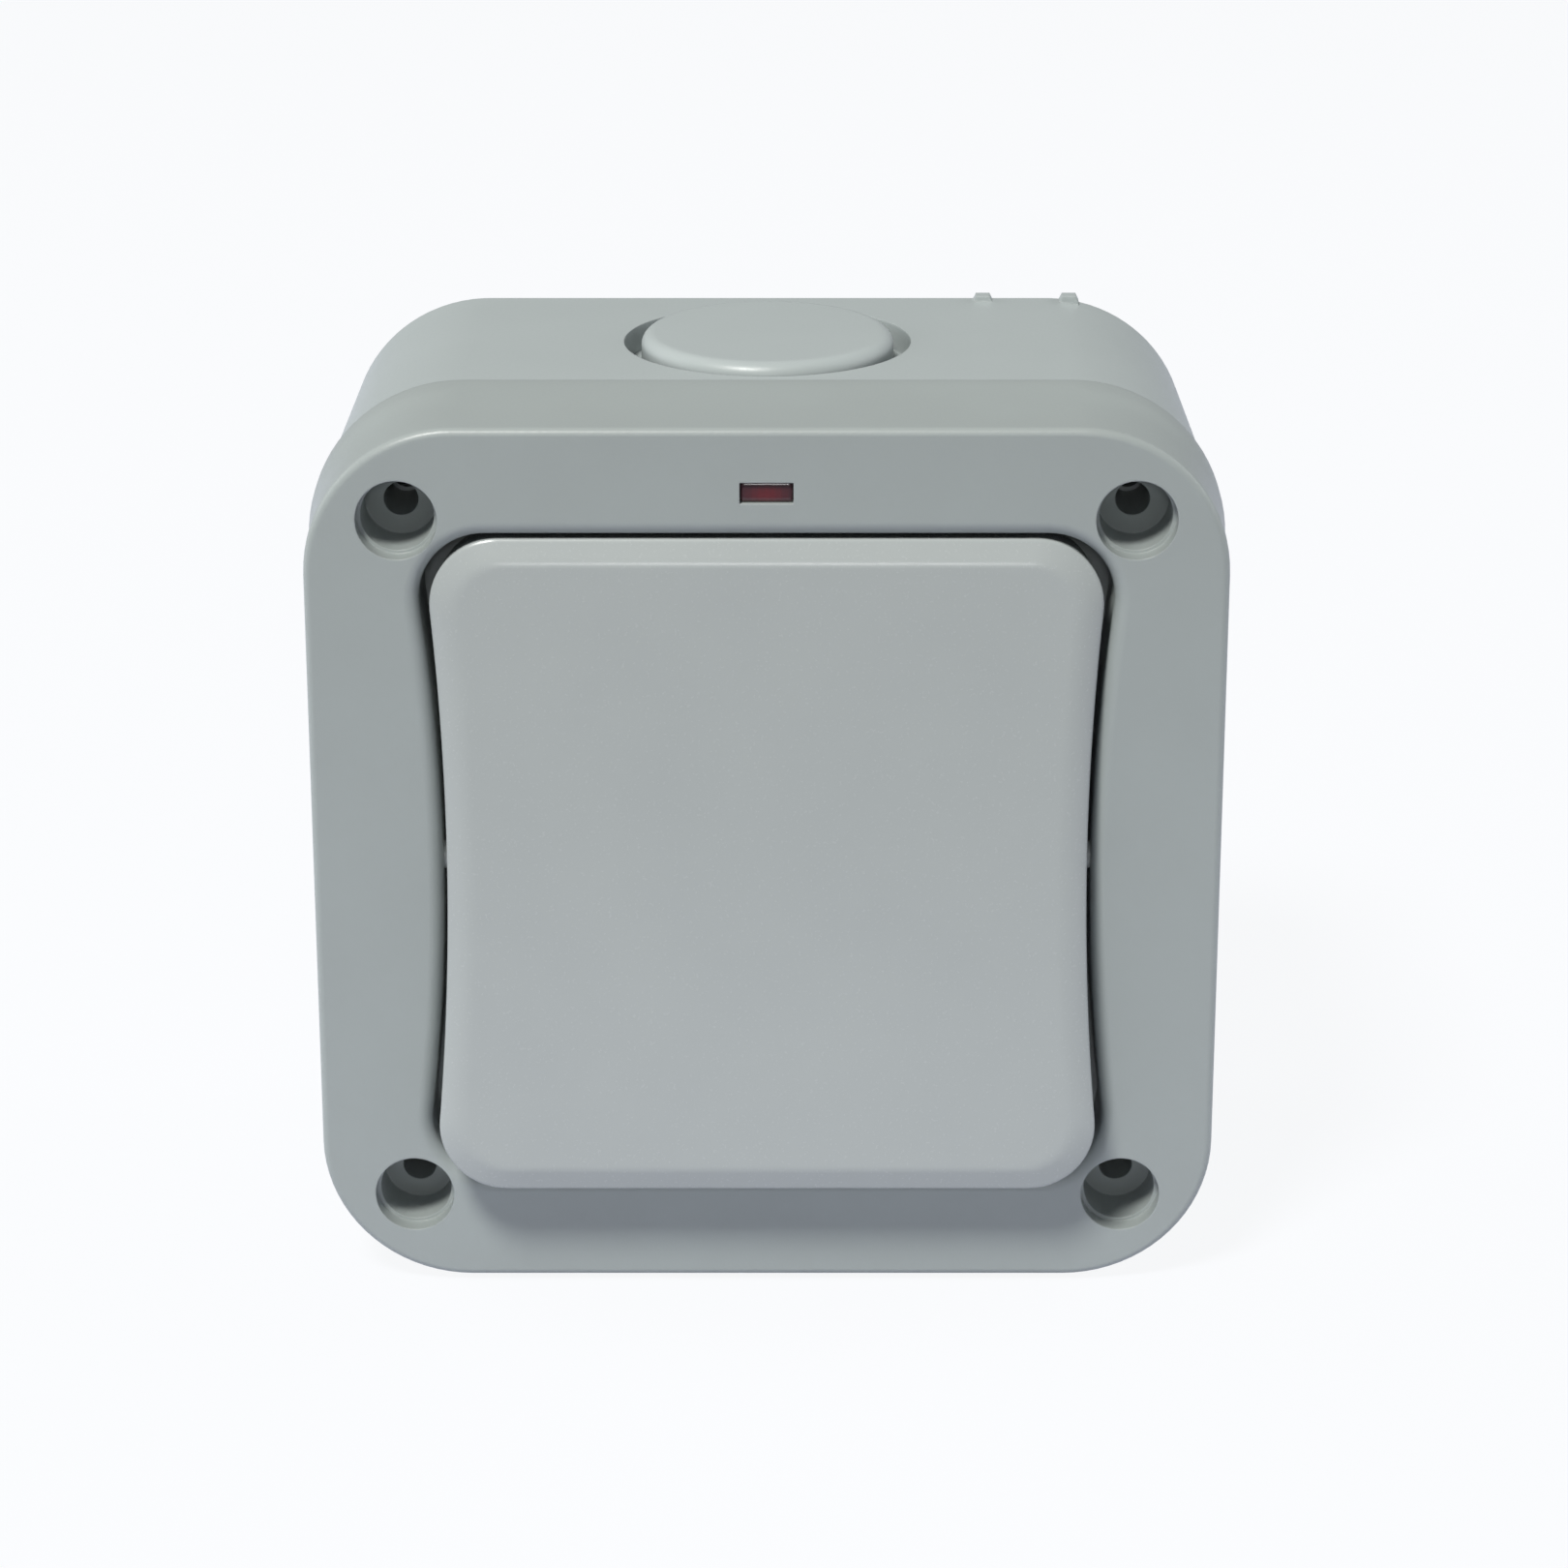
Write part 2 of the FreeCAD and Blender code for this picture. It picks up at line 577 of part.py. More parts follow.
def make_front_cover():
    """The moulded cover: flared side wall, screw wells, window and the rocker's tray."""
    cover = Piece("front_cover")
    half = "Size.cover_width / 2"
    shoulder = "Size.cover_shoulder_width / 2"
    rear = "Size.cover_rear_width / 2"
    sections = []
    for deep, width in (
        ("0", half),
        ("Size.cover_shoulder_deep", shoulder),
        ("Size.cover_depth - Size.cover_lip", rear),
        (RIM, rear),
    ):
        section = cover.front_sketch(deep)
        draw_rounded(section, width, width, f"Size.cover_corner + {width} - {half}")
        sections.append(section)
    cover.loft("Additive", sections[::-1])

    hollow = cover.front_sketch("Size.cover_wall")
    inner = "Size.cover_width / 2 - Size.cover_wall"
    draw_rounded(hollow, inner, inner, "Size.cover_corner - Size.cover_wall")
    cover.pocket(hollow, f"{RIM} - Size.cover_wall")

    posts = cover.front_sketch("Size.cover_wall / 2")
    for x, z in four_corners(SCREW):
        draw_circle(posts, "Size.well_inner_radius + Size.well_wall", x, z)
    cover.pad(posts, f"{RIM} - Size.cover_wall / 2")

    tray = cover.front_sketch("Size.cover_wall / 2")
    draw_waisted(
        tray,
        "Size.opening_half_height + Size.tray_wall",
        "Size.opening_waist + Size.tray_wall",
        "Size.waist_radius - Size.tray_wall",
        "Size.opening_corner + Size.tray_wall",
    )
    cover.pad(tray, f"{TRAY_BACK} - Size.cover_wall / 2")

    bearings = cover.side_sketch("0")
    draw_circle(
        bearings,
        "Size.rocker_pin_radius + Size.tray_wall",
        cover.y_of("Size.rocker_pivot_deep"),
        "0",
    )
    reach = "(Size.opening_waist + Size.rocker_pin_reach + Size.bearing_wall)"
    cover.pad(bearings, f"2 * {reach}", BOTH)

    opening = cover.front_sketch("0")
    draw_waisted(
        opening,
        "Size.opening_half_height",
        "Size.opening_waist",
        "Size.waist_radius",
        "Size.opening_corner",
    )
    cover.pocket(opening, "Size.tray_deep")

    holes = cover.side_sketch("0")
    draw_circle(
        holes,
        "Size.rocker_pin_radius + Size.running_gap",
        cover.y_of("Size.rocker_pivot_deep"),
        "0",
    )
    end_gap = "4 * Size.running_gap"
    cover.pocket(holes, f"2 * (Size.opening_waist + Size.rocker_pin_reach + {end_gap})", BOTH)

    wells = cover.front_sketch("0")
    for x, z in four_corners(SCREW):
        draw_circle(wells, "Size.well_radius", x, z)
    cover.pocket(wells, "Size.well_step_deep")
    wells = cover.front_sketch("0")
    for x, z in four_corners(SCREW):
        draw_circle(wells, "Size.well_inner_radius", x, z)
    cover.pocket(wells, "Size.well_deep")
    holes = cover.front_sketch("0")
    for x, z in four_corners(SCREW):
        draw_circle(holes, "Size.screw_hole_radius", x, z)
    cover.pocket(holes, RIM)

    # The seat of the seal and the mechanism: a square hole and four screw posts.
    hole = cover.front_sketch("0")
    draw_rectangle(hole, "Size.tray_hole", "Size.tray_hole")
    cover.pocket(hole, TRAY_BACK)
    posts = cover.front_sketch(TRAY_BACK)
    for x, z in four_corners("Size.ear_screw_across", "Size.ear_height"):
        draw_circle(posts, "Size.post_radius", x, z)
    cover.pad(posts, "Size.post_length")
    holes = cover.front_sketch(EAR_FRONT)
    for x, z in four_corners("Size.ear_screw_across", "Size.ear_height"):
        draw_circle(holes, "Size.small_screw_radius + Size.running_gap", x, z)
    cover.pocket(holes, "Size.post_length + 4 * Size.running_gap", FRONT)

    # The window, the lens's seat behind it and two saddles that hold the lamp.
    window = cover.front_sketch("0")
    draw_rectangle(
        window, "Size.window_half_width", "Size.window_half_height", "0", "Size.window_height"
    )
    cover.pocket(window, "Size.cover_wall")
    saddles = cover.front_sketch("Size.cover_wall / 2")
    for side in ("", "-"):
        draw_rectangle(
            saddles,
            "Size.lens_lip",
            "Size.lamp_radius + Size.lens_lip",
            f"{side}(Size.lamp_half_length - Size.lens_lip)",
            "Size.lamp_height",
        )
    cover.pad(saddles, "Size.lamp_deep + Size.lamp_radius / 2 - Size.cover_wall / 2")
    seat = cover.front_sketch("Size.lens_step_deep")
    draw_rectangle(
        seat,
        "Size.window_half_width + Size.lens_lip + Size.running_gap",
        "Size.window_half_height + Size.lens_lip + Size.running_gap",
        "0",
        "Size.window_height",
    )
    cover.pocket(seat, "Size.cover_wall")
    lamp_room = cover.side_sketch("0")
    draw_circle(
        lamp_room,
        "Size.lamp_radius + Size.running_gap",
        cover.y_of("Size.lamp_deep"),
        "Size.lamp_height",
    )
    cover.pocket(lamp_room, "2 * Size.lamp_half_length + 4 * Size.lens_lip", BOTH)

    # Soft outer edge and soft lip, the two that catch the light.
    face_edge = at_depth(cover, "0")
    limit = value("Size.opening_half_height + Size.opening_waist") / 2 + 5
    cover.round_edges(
        "Size.cover_edge_round", lambda edge: face_edge(edge) and spans(edge) > limit + 5
    )
    face_edge = at_depth(cover, "0")
    lip = value("Size.opening_half_height") + 0.01
    cover.round_edges(
        "Size.opening_round",
        lambda edge: face_edge(edge)
        and spans(edge) <= lip
        and edge.Length > value("Size.opening_corner"),
    )
    return cover


def make_rocker():
    """The large paddle: rounded edge, drafted skirt, side pins and the drive post."""
    rocker = Piece("rocker", "Size.rocker_pivot_deep")
    face_deep = "-Size.rocker_proud"
    edge_deep = f"{face_deep} + Size.edge_drop"
    foot_deep = f"{edge_deep} + Size.rocker_skirt"
    high = "Size.opening_half_height - Size.rocker_end_gap"
    waist = "Size.opening_waist - Size.rocker_gap"
    side = "Size.rocker_side_radius"

    foot = rocker.front_sketch(foot_deep)
    draw_waisted(
        foot,
        f"{high} - Size.skirt_draft",
        f"{waist} - Size.skirt_draft",
        f"{side} + Size.skirt_draft",
        "Size.rocker_corner - Size.skirt_draft",
    )
    edge = rocker.front_sketch(edge_deep)
    draw_waisted(edge, high, waist, side, "Size.rocker_corner")
    rocker.loft("Additive", [foot, edge])

    # The edge swells up to the flat face through ever smaller outlines.
    outlines = [edge]
    for fall, side_part, end_part in EDGE_STEPS:
        outline = rocker.front_sketch(f"{face_deep} + Size.edge_drop * {fall}")
        draw_waisted(
            outline,
            f"{high} - Size.edge_end * {end_part}",
            f"{waist} - Size.edge_side * {side_part}",
            f"{side} + Size.edge_side * {side_part}",
            f"Size.rocker_corner - (Size.rocker_corner - Size.face_corner) * {side_part}",
        )
        outlines.append(outline)
    rocker.loft("Additive", outlines, ruled=False)

    hollow = rocker.front_sketch(foot_deep)
    inset = "(Size.skirt_draft + Size.rocker_wall)"
    draw_waisted(
        hollow,
        f"{high} - {inset}",
        f"{waist} - {inset}",
        f"{side} + {inset}",
        f"Size.rocker_corner - {inset}",
    )
    rocker.pocket(hollow, "Size.rocker_skirt - Size.rocker_wall", FRONT)

    # Stiffening ribs across the back of the paddle.
    ribs = rocker.front_sketch(foot_deep)
    for spot in ("", "-"):
        draw_rectangle(
            ribs,
            f"{waist} - Size.rocker_wall / 2",
            "Size.rocker_wall / 4",
            "0",
            f"{spot}({high}) / 2",
        )
    rocker.pad(ribs, "Size.rocker_skirt - Size.rocker_wall / 2", FRONT)

    # Pins on the two sides, with a round boss behind each.
    boss = rocker.side_sketch("0")
    draw_circle(boss, "2 * Size.rocker_pin_radius")
    rocker.pad(boss, f"2 * ({waist} - Size.skirt_draft)", BOTH)
    room = rocker.front_sketch(foot_deep)
    inside = f"{waist} - 2 * Size.rocker_wall - Size.skirt_draft"
    draw_rectangle(room, inside, "2 * Size.rocker_pin_radius + 1")
    rocker.pocket(room, "Size.rocker_skirt - Size.rocker_wall", FRONT)
    pins = rocker.side_sketch("0")
    draw_circle(pins, "Size.rocker_pin_radius")
    rocker.pad(pins, "2 * (Size.opening_waist + Size.rocker_pin_reach)", BOTH)
    room = rocker.front_sketch(f"2 * Size.rocker_pin_radius + Size.rocker_pivot_deep")
    draw_rectangle(room, inside, "Size.rocker_pin_radius + 1")
    rocker.pocket(room, "4 * Size.rocker_pin_radius", FRONT)

    # The drive post narrows towards its round tip.
    root = "Size.rocker_wall - Size.rocker_proud + Size.edge_drop / 2"
    post = rocker.side_sketch("0")
    draw_polygon(
        post,
        [
            (rocker.y_of(root), "-Size.post_root"),
            ("Size.rocker_arm", "-Size.post_neck"),
            ("Size.rocker_arm", "Size.post_neck"),
            (rocker.y_of(root), "Size.post_root"),
        ],
    )
    rocker.pad(post, "2 * Size.post_half_width", BOTH)
    tip = rocker.side_sketch("0")
    draw_circle(tip, "Size.post_tip_radius", "Size.rocker_arm", "0")
    rocker.pad(tip, "2 * Size.post_half_width", BOTH)
    rocker.place(deep="Size.rocker_pivot_deep", turn="-Size.rocker_tilt")
    return rocker


def make_rocker_seal():
    """The silicone seal: a flange under the tray and a boot round the drive post."""
    seal = Piece("rocker_seal")
    flange = seal.front_sketch(TRAY_BACK)
    draw_rounded(flange, "Size.seal_half", "Size.seal_half", "Size.housing_corner")
    seal.pad(flange, "Size.seal_thickness")
    neck_x = "Size.post_half_width + Size.post_room_side"
    neck_z = "Size.post_neck + Size.post_room"
    foot = seal.front_sketch(TRAY_BACK)
    draw_rectangle(foot, "Size.seal_foot", "Size.seal_foot")
    top = seal.front_sketch(f"{TRAY_BACK} - Size.seal_rise")
    draw_rectangle(top, f"{neck_x} + Size.seal_skin", f"{neck_z} + Size.seal_skin")
    seal.loft("Additive", [foot, top])
    mouth = seal.front_sketch(PLATE_FRONT)
    draw_rectangle(
        mouth, "Size.seal_foot - Size.seal_skin", "Size.seal_foot - Size.seal_skin"
    )
    neck = seal.front_sketch(f"{TRAY_BACK} - Size.seal_rise")
    draw_rectangle(neck, neck_x, neck_z)
    seal.loft("Subtractive", [mouth, neck])
    return seal


def make_indicator():
    """The red lens behind the window and the neon lamp behind the lens."""
    lens = Piece("indicator_lens")
    front = lens.front_sketch("Size.window_recess")
    draw_rectangle(
        front,
        "Size.window_half_width - Size.running_gap",
        "Size.window_half_height - Size.running_gap",
        "0",
        "Size.window_height",
    )
    lens.pad(front, "Size.lens_step_deep - Size.window_recess")
    back = lens.front_sketch("Size.lens_step_deep")
    draw_rectangle(
        back,
        "Size.window_half_width + Size.lens_lip",
        "Size.window_half_height + Size.lens_lip",
        "0",
        "Size.window_height",
    )
    lens.pad(back, "Size.lens_deep - Size.lens_step_deep")

    lamp = Piece("neon_lamp", "0")
    glass = lamp.side_sketch("0")
    draw_circle(glass, "Size.lamp_radius")
    lamp.pad(glass, "2 * Size.lamp_half_length", BOTH)
    lamp.round_edges("Size.lamp_radius * 0.6", lambda edge: True)
    lamp.place(deep="Size.lamp_deep", height="Size.lamp_height")
    return lens, lamp


def bent_wire(corners, radius, bend):
    """A round wire through the corners, with every turn an arc of one radius."""
    points = [Vector(*corner) for corner in corners]
    edges = []
    start = points[0]
    for before, corner, after in zip(points, points[1:], points[2:]):
        into = (corner - before).normalize()
        out = (after - corner).normalize()
        half_turn = into.getAngle(out) / 2
        cut = bend * math.tan(half_turn)
        arc_start = corner - into * cut
        arc_end = corner + out * cut
        inward = (out - into).normalize()
        middle = corner + inward * (bend / math.cos(half_turn) - bend)
        edges.append(Part.LineSegment(start, arc_start).toShape())
        edges.append(Part.Arc(arc_start, middle, arc_end).toShape())
        start = arc_end
    edges.append(Part.LineSegment(start, points[-1]).toShape())
    path = Part.Wire(edges)
    along = (points[1] - points[0]).normalize()
    section = Part.Wire(Part.makeCircle(radius, points[0], along))
    return path.makePipeShell([section], True, True)


def make_lamp_wiring():
    """The lamp's two sleeved leads, and the resistor that sits on the left one."""
    total = value("Size.total_depth")
    side = value("Size.lamp_half_length") + 3
    lamp_y = value("Size.lamp_deep") - total
    lamp_z = value("Size.lamp_height")
    pole = value("Size.pole_half")
    # The leads cross between the tray and the gasket, so they stay inside the cover.
    crossing = (value(TRAY_BACK) + value(RIM)) / 2 - total
    wire_y = value(WIRE_DEEP) - total
    low_z = value("Size.housing_half_height") + 6
    end_z = value("Size.terminal_outer") - 3
    leads = []
    for hand in (-1, 1):
        corners = [
            (hand * value("Size.lamp_half_length"), lamp_y, lamp_z),
            (hand * side, lamp_y, lamp_z),
            (hand * side, crossing, lamp_z),
            (hand * pole, crossing, low_z),
            (hand * pole, wire_y, low_z),
            (hand * pole, wire_y, end_z),
        ]
        leads.append(bent_wire(corners, value("Size.wire_radius"), 2.0))
    wiring = doc.addObject("Part::Feature", "lamp_leads")
    wiring.Label = "lamp_leads"
    wiring.Shape = Part.makeCompound(leads)

    resistor = doc.addObject("Part::Cut", "lamp_resistor")
    resistor.Label = "lamp_resistor"
    body = doc.addObject("Part::Cylinder", "resistor_body")
    bore = doc.addObject("Part::Cylinder", "resistor_bore")
    body.Height = bore.Height = 6.5
    bind(body, "Radius", "Size.wire_radius + 0.9")
    bind(bore, "Radius", "Size.wire_radius + Size.running_gap")
    resistor.Base = body
    resistor.Tool = bore
    resistor.Placement = Placement(Vector(), Rotation(Vector(1, 0, 0), -90))
    bind(resistor, "Placement.Base.x", "-Size.pole_half")
    bind(resistor, "Placement.Base.y", f"{TRAY_BACK} + 12 - Size.total_depth")
    bind(resistor, "Placement.Base.z", "Size.housing_half_height + 6")
    return wiring, resistor


def make_gasket():
    """The gasket: a flat ring between cover and box with a bead in the box's groove."""
    gasket = Piece("box_gasket")
    flat = gasket.front_sketch(RIM)
    outer = "(Size.box_width / 2 - Size.gasket_inset)"
    corner = "(Size.box_corner - Size.gasket_inset)"
    draw_rounded(flat, outer, outer, corner)
    draw_rounded(
        flat,
        f"{outer} - Size.gasket_width",
        f"{outer} - Size.gasket_width",
        f"{corner} - Size.gasket_width",
    )
    gasket.pad(flat, "Size.gasket_show")
    bead = gasket.front_sketch(BOX_RIM)
    outer = "(Size.box_width / 2 - Size.groove_inset - Size.running_gap)"
    corner = "(Size.box_corner - Size.groove_inset - Size.running_gap)"
    width = "(Size.groove_width - 2 * Size.running_gap)"
    draw_rounded(bead, outer, outer, corner)
    draw_rounded(bead, f"{outer} - {width}", f"{outer} - {width}", f"{corner} - {width}")
    gasket.pad(bead, "Size.groove_deep - 2 * Size.running_gap")
    return gasket


def make_back_box():
    """The wall box: drafted shell, corner pillars, cable entries and wall holes."""
    box = Piece("back_box")
    rim, rear = "Size.box_width / 2", "Size.box_rear_width / 2"
    front = box.front_sketch(BOX_RIM)
    draw_rounded(front, rim, rim, "Size.box_corner")
    back = box.front_sketch("Size.total_depth")
    draw_rounded(back, rear, rear, "Size.box_corner")
    box.loft("Additive", [back, front])
    back_edge = at_depth(box, "Size.total_depth")
    box.round_edges("Size.box_edge_round", back_edge)

    front = box.front_sketch(BOX_RIM)
    draw_rounded(
        front, f"{rim} - Size.box_wall", f"{rim} - Size.box_wall", "Size.box_corner - Size.box_wall"
    )
    floor = box.front_sketch(BOX_FLOOR)
    draw_rounded(
        floor, f"{rear} - Size.box_wall", f"{rear} - Size.box_wall", "Size.box_corner - Size.box_wall"
    )
    box.loft("Subtractive", [front, floor])

    pillars = box.front_sketch(BOX_RIM)
    for x, z in four_corners(SCREW):
        draw_circle(pillars, "Size.pillar_radius", x, z)
    box.pad(pillars, f"{BOX_FLOOR} - ({BOX_RIM}) + Size.box_wall / 2")
    bosses = box.front_sketch(BOX_FLOOR)
    for x, z in four_corners(FIXING):
        draw_circle(bosses, "Size.fixing_boss_radius", x, z)
    box.pad(bosses, "Size.fixing_boss_height", FRONT)
    cheeks = box.front_sketch(BOX_FLOOR)
    for side in ("", "-"):
        draw_rectangle(
            cheeks,
            "Size.earth_cheek / 2",
            "Size.earth_half_height",
            f"{side}(Size.earth_half_width + Size.running_gap + Size.earth_cheek / 2)",
            "-Size.earth_drop",
        )
    box.pad(cheeks, "Size.earth_cheek_height", FRONT)

    # Thick round pads inside the top and bottom walls carry the cable entries.
    for up, down, sign in ((UP, DOWN, ""), (DOWN, UP, "-")):
        pad_face = f"{RECESS_FLOOR} - Size.entry_wall"
        boss = box.plan_sketch(f"{sign}({pad_face})")
        draw_circle(
            boss,
            "Size.entry_recess_radius + Size.entry_boss_wall",
            "0",
            box.y_of("Size.entry_deep"),
        )
        box.pad(boss, "Size.entry_recess + Size.entry_wall - Size.box_wall / 2", up)
        recess = box.plan_sketch(f"{sign}({RECESS_FLOOR})")
        draw_circle(
            recess, "Size.entry_recess_radius", "0", box.y_of("Size.entry_deep")
        )
        box.pocket(recess, "Size.entry_recess + 2", up)
        hole = box.plan_sketch(f"{sign}({RECESS_FLOOR})")
        draw_circle(hole, "Size.entry_hole_radius", "0", box.y_of("Size.entry_deep"))
        box.pocket(hole, "Size.entry_wall + 1", down)

    holes = box.front_sketch(BOX_RIM)
    for x, z in four_corners(SCREW):
        draw_circle(holes, "Size.pillar_hole_radius", x, z)
    box.pocket(holes, "Size.pillar_hole_deep")
    holes = box.front_sketch(f"{BOX_FLOOR} - Size.fixing_boss_height")
    for x, z in four_corners(FIXING):
        draw_circle(holes, "Size.fixing_hole_radius", x, z)
    box.pocket(holes, "Size.box_wall + Size.fixing_boss_height")
    groove = box.front_sketch(BOX_RIM)
    outer = "(Size.box_width / 2 - Size.groove_inset)"
    corner = "(Size.box_corner - Size.groove_inset)"
    draw_rounded(groove, outer, outer, corner)
    draw_rounded(
        groove,
        f"{outer} - Size.groove_width",
        f"{outer} - Size.groove_width",
        f"{corner} - Size.groove_width",
    )
    box.pocket(groove, "Size.groove_deep")

    # Two small moulded nubs stand on the top wall at its rear edge.
    nub_back = "(Size.total_depth - Size.box_edge_round)"
    nubs = box.front_sketch(f"{nub_back} - Size.nub_length")
    top = f"({rear} + Size.nub_height)"
    for middle in ("Size.nub_first", "Size.nub_second"):
        draw_polygon(
            nubs,
            [
                (f"{middle} - Size.nub_half_width", f"{rear} - Size.box_wall / 2"),
                (f"{middle} + Size.nub_half_width", f"{rear} - Size.box_wall / 2"),
                (f"{middle} + Size.nub_half_width", rear),
                (f"{middle} + Size.nub_half_width * 0.7", top),
                (f"{middle} - Size.nub_half_width * 0.7", top),
                (f"{middle} - Size.nub_half_width", rear),
            ],
        )
    box.pad(nubs, "Size.nub_length")
    return box


def make_entry(label, side):
    """A blanking plug and its sealing ring, in the top or the bottom entry."""
    turn = "0" if side > 0 else "180"
    sign = "" if side > 0 else "-"
    plug = Piece(f"entry_plug_{label}", "0")
    head_low = "Size.entry_seal"
    head_top = "Size.entry_recess + Size.plug_proud"
    half = plug.sketch("XZ_Plane", "0")
    shank = "(Size.entry_hole_radius - Size.plug_gap)"
    draw_polygon(
        half,
        [
            ("0", f"{head_top} - Size.plug_wall"),
            (f"{shank} - Size.plug_wall", f"{head_top} - Size.plug_wall"),
            (f"{shank} - Size.plug_wall", "-Size.plug_shank"),
            (shank, "-Size.plug_shank"),
            (shank, head_low),
            ("Size.plug_head_radius", head_low),
            ("Size.plug_head_radius", head_top),
            ("0", head_top),
        ],
    )
    plug.revolve(half)
    top = value(head_top)
    plug.round_edges(
        "Size.plug_edge_round",
        lambda edge: abs(edge.BoundBox.ZMin - top) < 1e-4 and edge.Length > 60,
    )
    plug.place(deep="Size.entry_deep", height=f"{sign}({RECESS_FLOOR})", turn=turn)

    ring = Piece(f"entry_seal_{label}", "0")
    flat = ring.plan_sketch("0")
    draw_circle(flat, "Size.entry_hole_radius + Size.entry_seal_width")
    draw_circle(flat, "Size.entry_hole_radius")
    ring.pad(flat, "Size.entry_seal", UP)
    ring.place(deep="Size.entry_deep", height=f"{sign}({RECESS_FLOOR})", turn=turn)
    return plug, ring


def make_mechanism_lid():
    """The lid of the mechanism: a hole for the fork and two legs that hold the axle."""
    lid = Piece("mechanism_lid")
    flat = lid.front_sketch(PLATE_FRONT)
    draw_rounded(
        flat, "Size.housing_half_width", "Size.housing_half_height", "Size.housing_corner"
    )
    lid.pad(flat, "Size.plate_thickness")
    hole = lid.front_sketch(PLATE_FRONT)
    draw_rectangle(hole, "Size.plate_hole_side", "Size.plate_hole_up")
    lid.pocket(hole, "Size.plate_thickness")
    legs = lid.front_sketch(HOUSING_FRONT)
    middle = "Size.dolly_half_length + Size.bearing_post_width / 2 + 0.5"
    for side in ("", "-"):
        draw_rectangle(
            legs, "Size.bearing_post_width / 2", "Size.axle_radius", f"{side}({middle})", "0"
        )
    lid.pad(legs, f"{DOLLY_DEEP} - ({HOUSING_FRONT}) - Size.axle_radius - Size.running_gap")
    return lid


def make_switch_housing():
    """The housing of the mechanism: two pole chambers, bearings, ears and openings."""
    housing = Piece("switch_housing")
    wall = "Size.housing_wall"
    inner_x = f"(Size.housing_half_width - {wall})"
    inner_z = f"(Size.housing_half_height - {wall})"
    block = housing.front_sketch(HOUSING_FRONT)
    draw_rounded(
        block, "Size.housing_half_width", "Size.housing_half_height", "Size.housing_corner"
    )
    housing.pad(block, "Size.housing_depth")
    ears = housing.front_sketch(EAR_FRONT)
    for x, z in four_corners("Size.housing_half_width", "Size.ear_height"):
        draw_rectangle(ears, "Size.ear_reach", "Size.ear_half", x, z)
    housing.pad(ears, "Size.ear_thickness")
    chamber = housing.front_sketch(HOUSING_FRONT)
    draw_rectangle(chamber, inner_x, inner_z)
    housing.pocket(chamber, f"Size.partition_deep - ({HOUSING_FRONT})")
    poles = housing.front_sketch("Size.partition_deep")
    for side in ("", "-"):
        draw_rectangle(
            poles,
            f"({inner_x} - Size.partition_half) / 2",
            inner_z,
            f"{side}({inner_x} + Size.partition_half) / 2",
            "0",
        )
    housing.pocket(poles, f"{HOUSING_FLOOR} - Size.partition_deep")

    # Bearing posts stand on the floor, with a slot that the axle drops into.
    posts = housing.front_sketch(HOUSING_FLOOR)
    middle = "(Size.dolly_half_length + Size.bearing_post_width / 2 + 0.5)"
    for side in ("", "-"):
        draw_rectangle(
            posts,
            "Size.bearing_post_width / 2",
            "Size.bearing_post_half",
            f"{side}{middle}",
            "0",
        )
    housing.pad(posts, f"{HOUSING_FLOOR} - ({HOUSING_FRONT})", FRONT)
    seat_radius = "(Size.axle_radius + Size.running_gap)"
    bore = housing.side_sketch("0")
    draw_circle(bore, seat_radius, housing.y_of(DOLLY_DEEP), "0")
    reach = f"2 * ({middle} + Size.bearing_post_width / 2)"
    housing.pocket(bore, reach, BOTH)
    slot = housing.front_sketch(HOUSING_FRONT)
    draw_rectangle(slot, f"{middle} + Size.bearing_post_width / 2", seat_radius)
    housing.pocket(slot, f"{DOLLY_DEEP} - ({HOUSING_FRONT})")

    # Ribs under the fixed contacts, screw holes in the floor and wire holes in the ends.
    ribs = housing.front_sketch(HOUSING_FLOOR)
    for side in ("", "-"):
        draw_rectangle(
            ribs,
            "Size.contact_half_width",
            "Size.tip_radius",
            f"{side}Size.pole_half",
            "-Size.tip_from_pivot",
        )
    housing.pad(ribs, f"{HOUSING_FLOOR} - ({FIXED_STRIP_BACK})", FRONT)
    access = housing.front_sketch(HOUSING_FLOOR)
    for x, z in four_corners("Size.pole_half", TERMINAL_MIDDLE):
        draw_circle(access, "Size.terminal_head_radius + 0.3", x, z)
    housing.pocket(access, wall)
    wires = housing.plan_sketch("0")
    for side in ("", "-"):
        draw_rectangle(
            wires,
            "Size.terminal_bore + 0.4",
            "Size.terminal_bore + 0.4",
            f"{side}Size.pole_half",
            housing.y_of(WIRE_DEEP),
        )
    housing.pocket(wires, "2 * Size.housing_half_height", BOTH)
    holes = housing.front_sketch(EAR_FRONT)
    for x, z in four_corners("Size.ear_screw_across", "Size.ear_height"):
        draw_circle(holes, "Size.small_screw_radius + 0.15", x, z)
    housing.pocket(holes, "Size.ear_thickness")
    return housing


# Level of the fixed contact under the silver tip of the closed moving contact.
TIP_DROP = "Size.tip_from_pivot * sin(Size.contact_tilt * 1 deg)"
FIXED_TIP_FRONT = f"{CONTACT_PIVOT} + {TIP_DROP} + Size.tip_thickness + Size.running_gap"
FIXED_STRIP_FRONT = f"{FIXED_TIP_FRONT} + Size.fixed_tip_thickness"
FIXED_STRIP_BACK = f"{FIXED_STRIP_FRONT} + Size.strip_thickness"


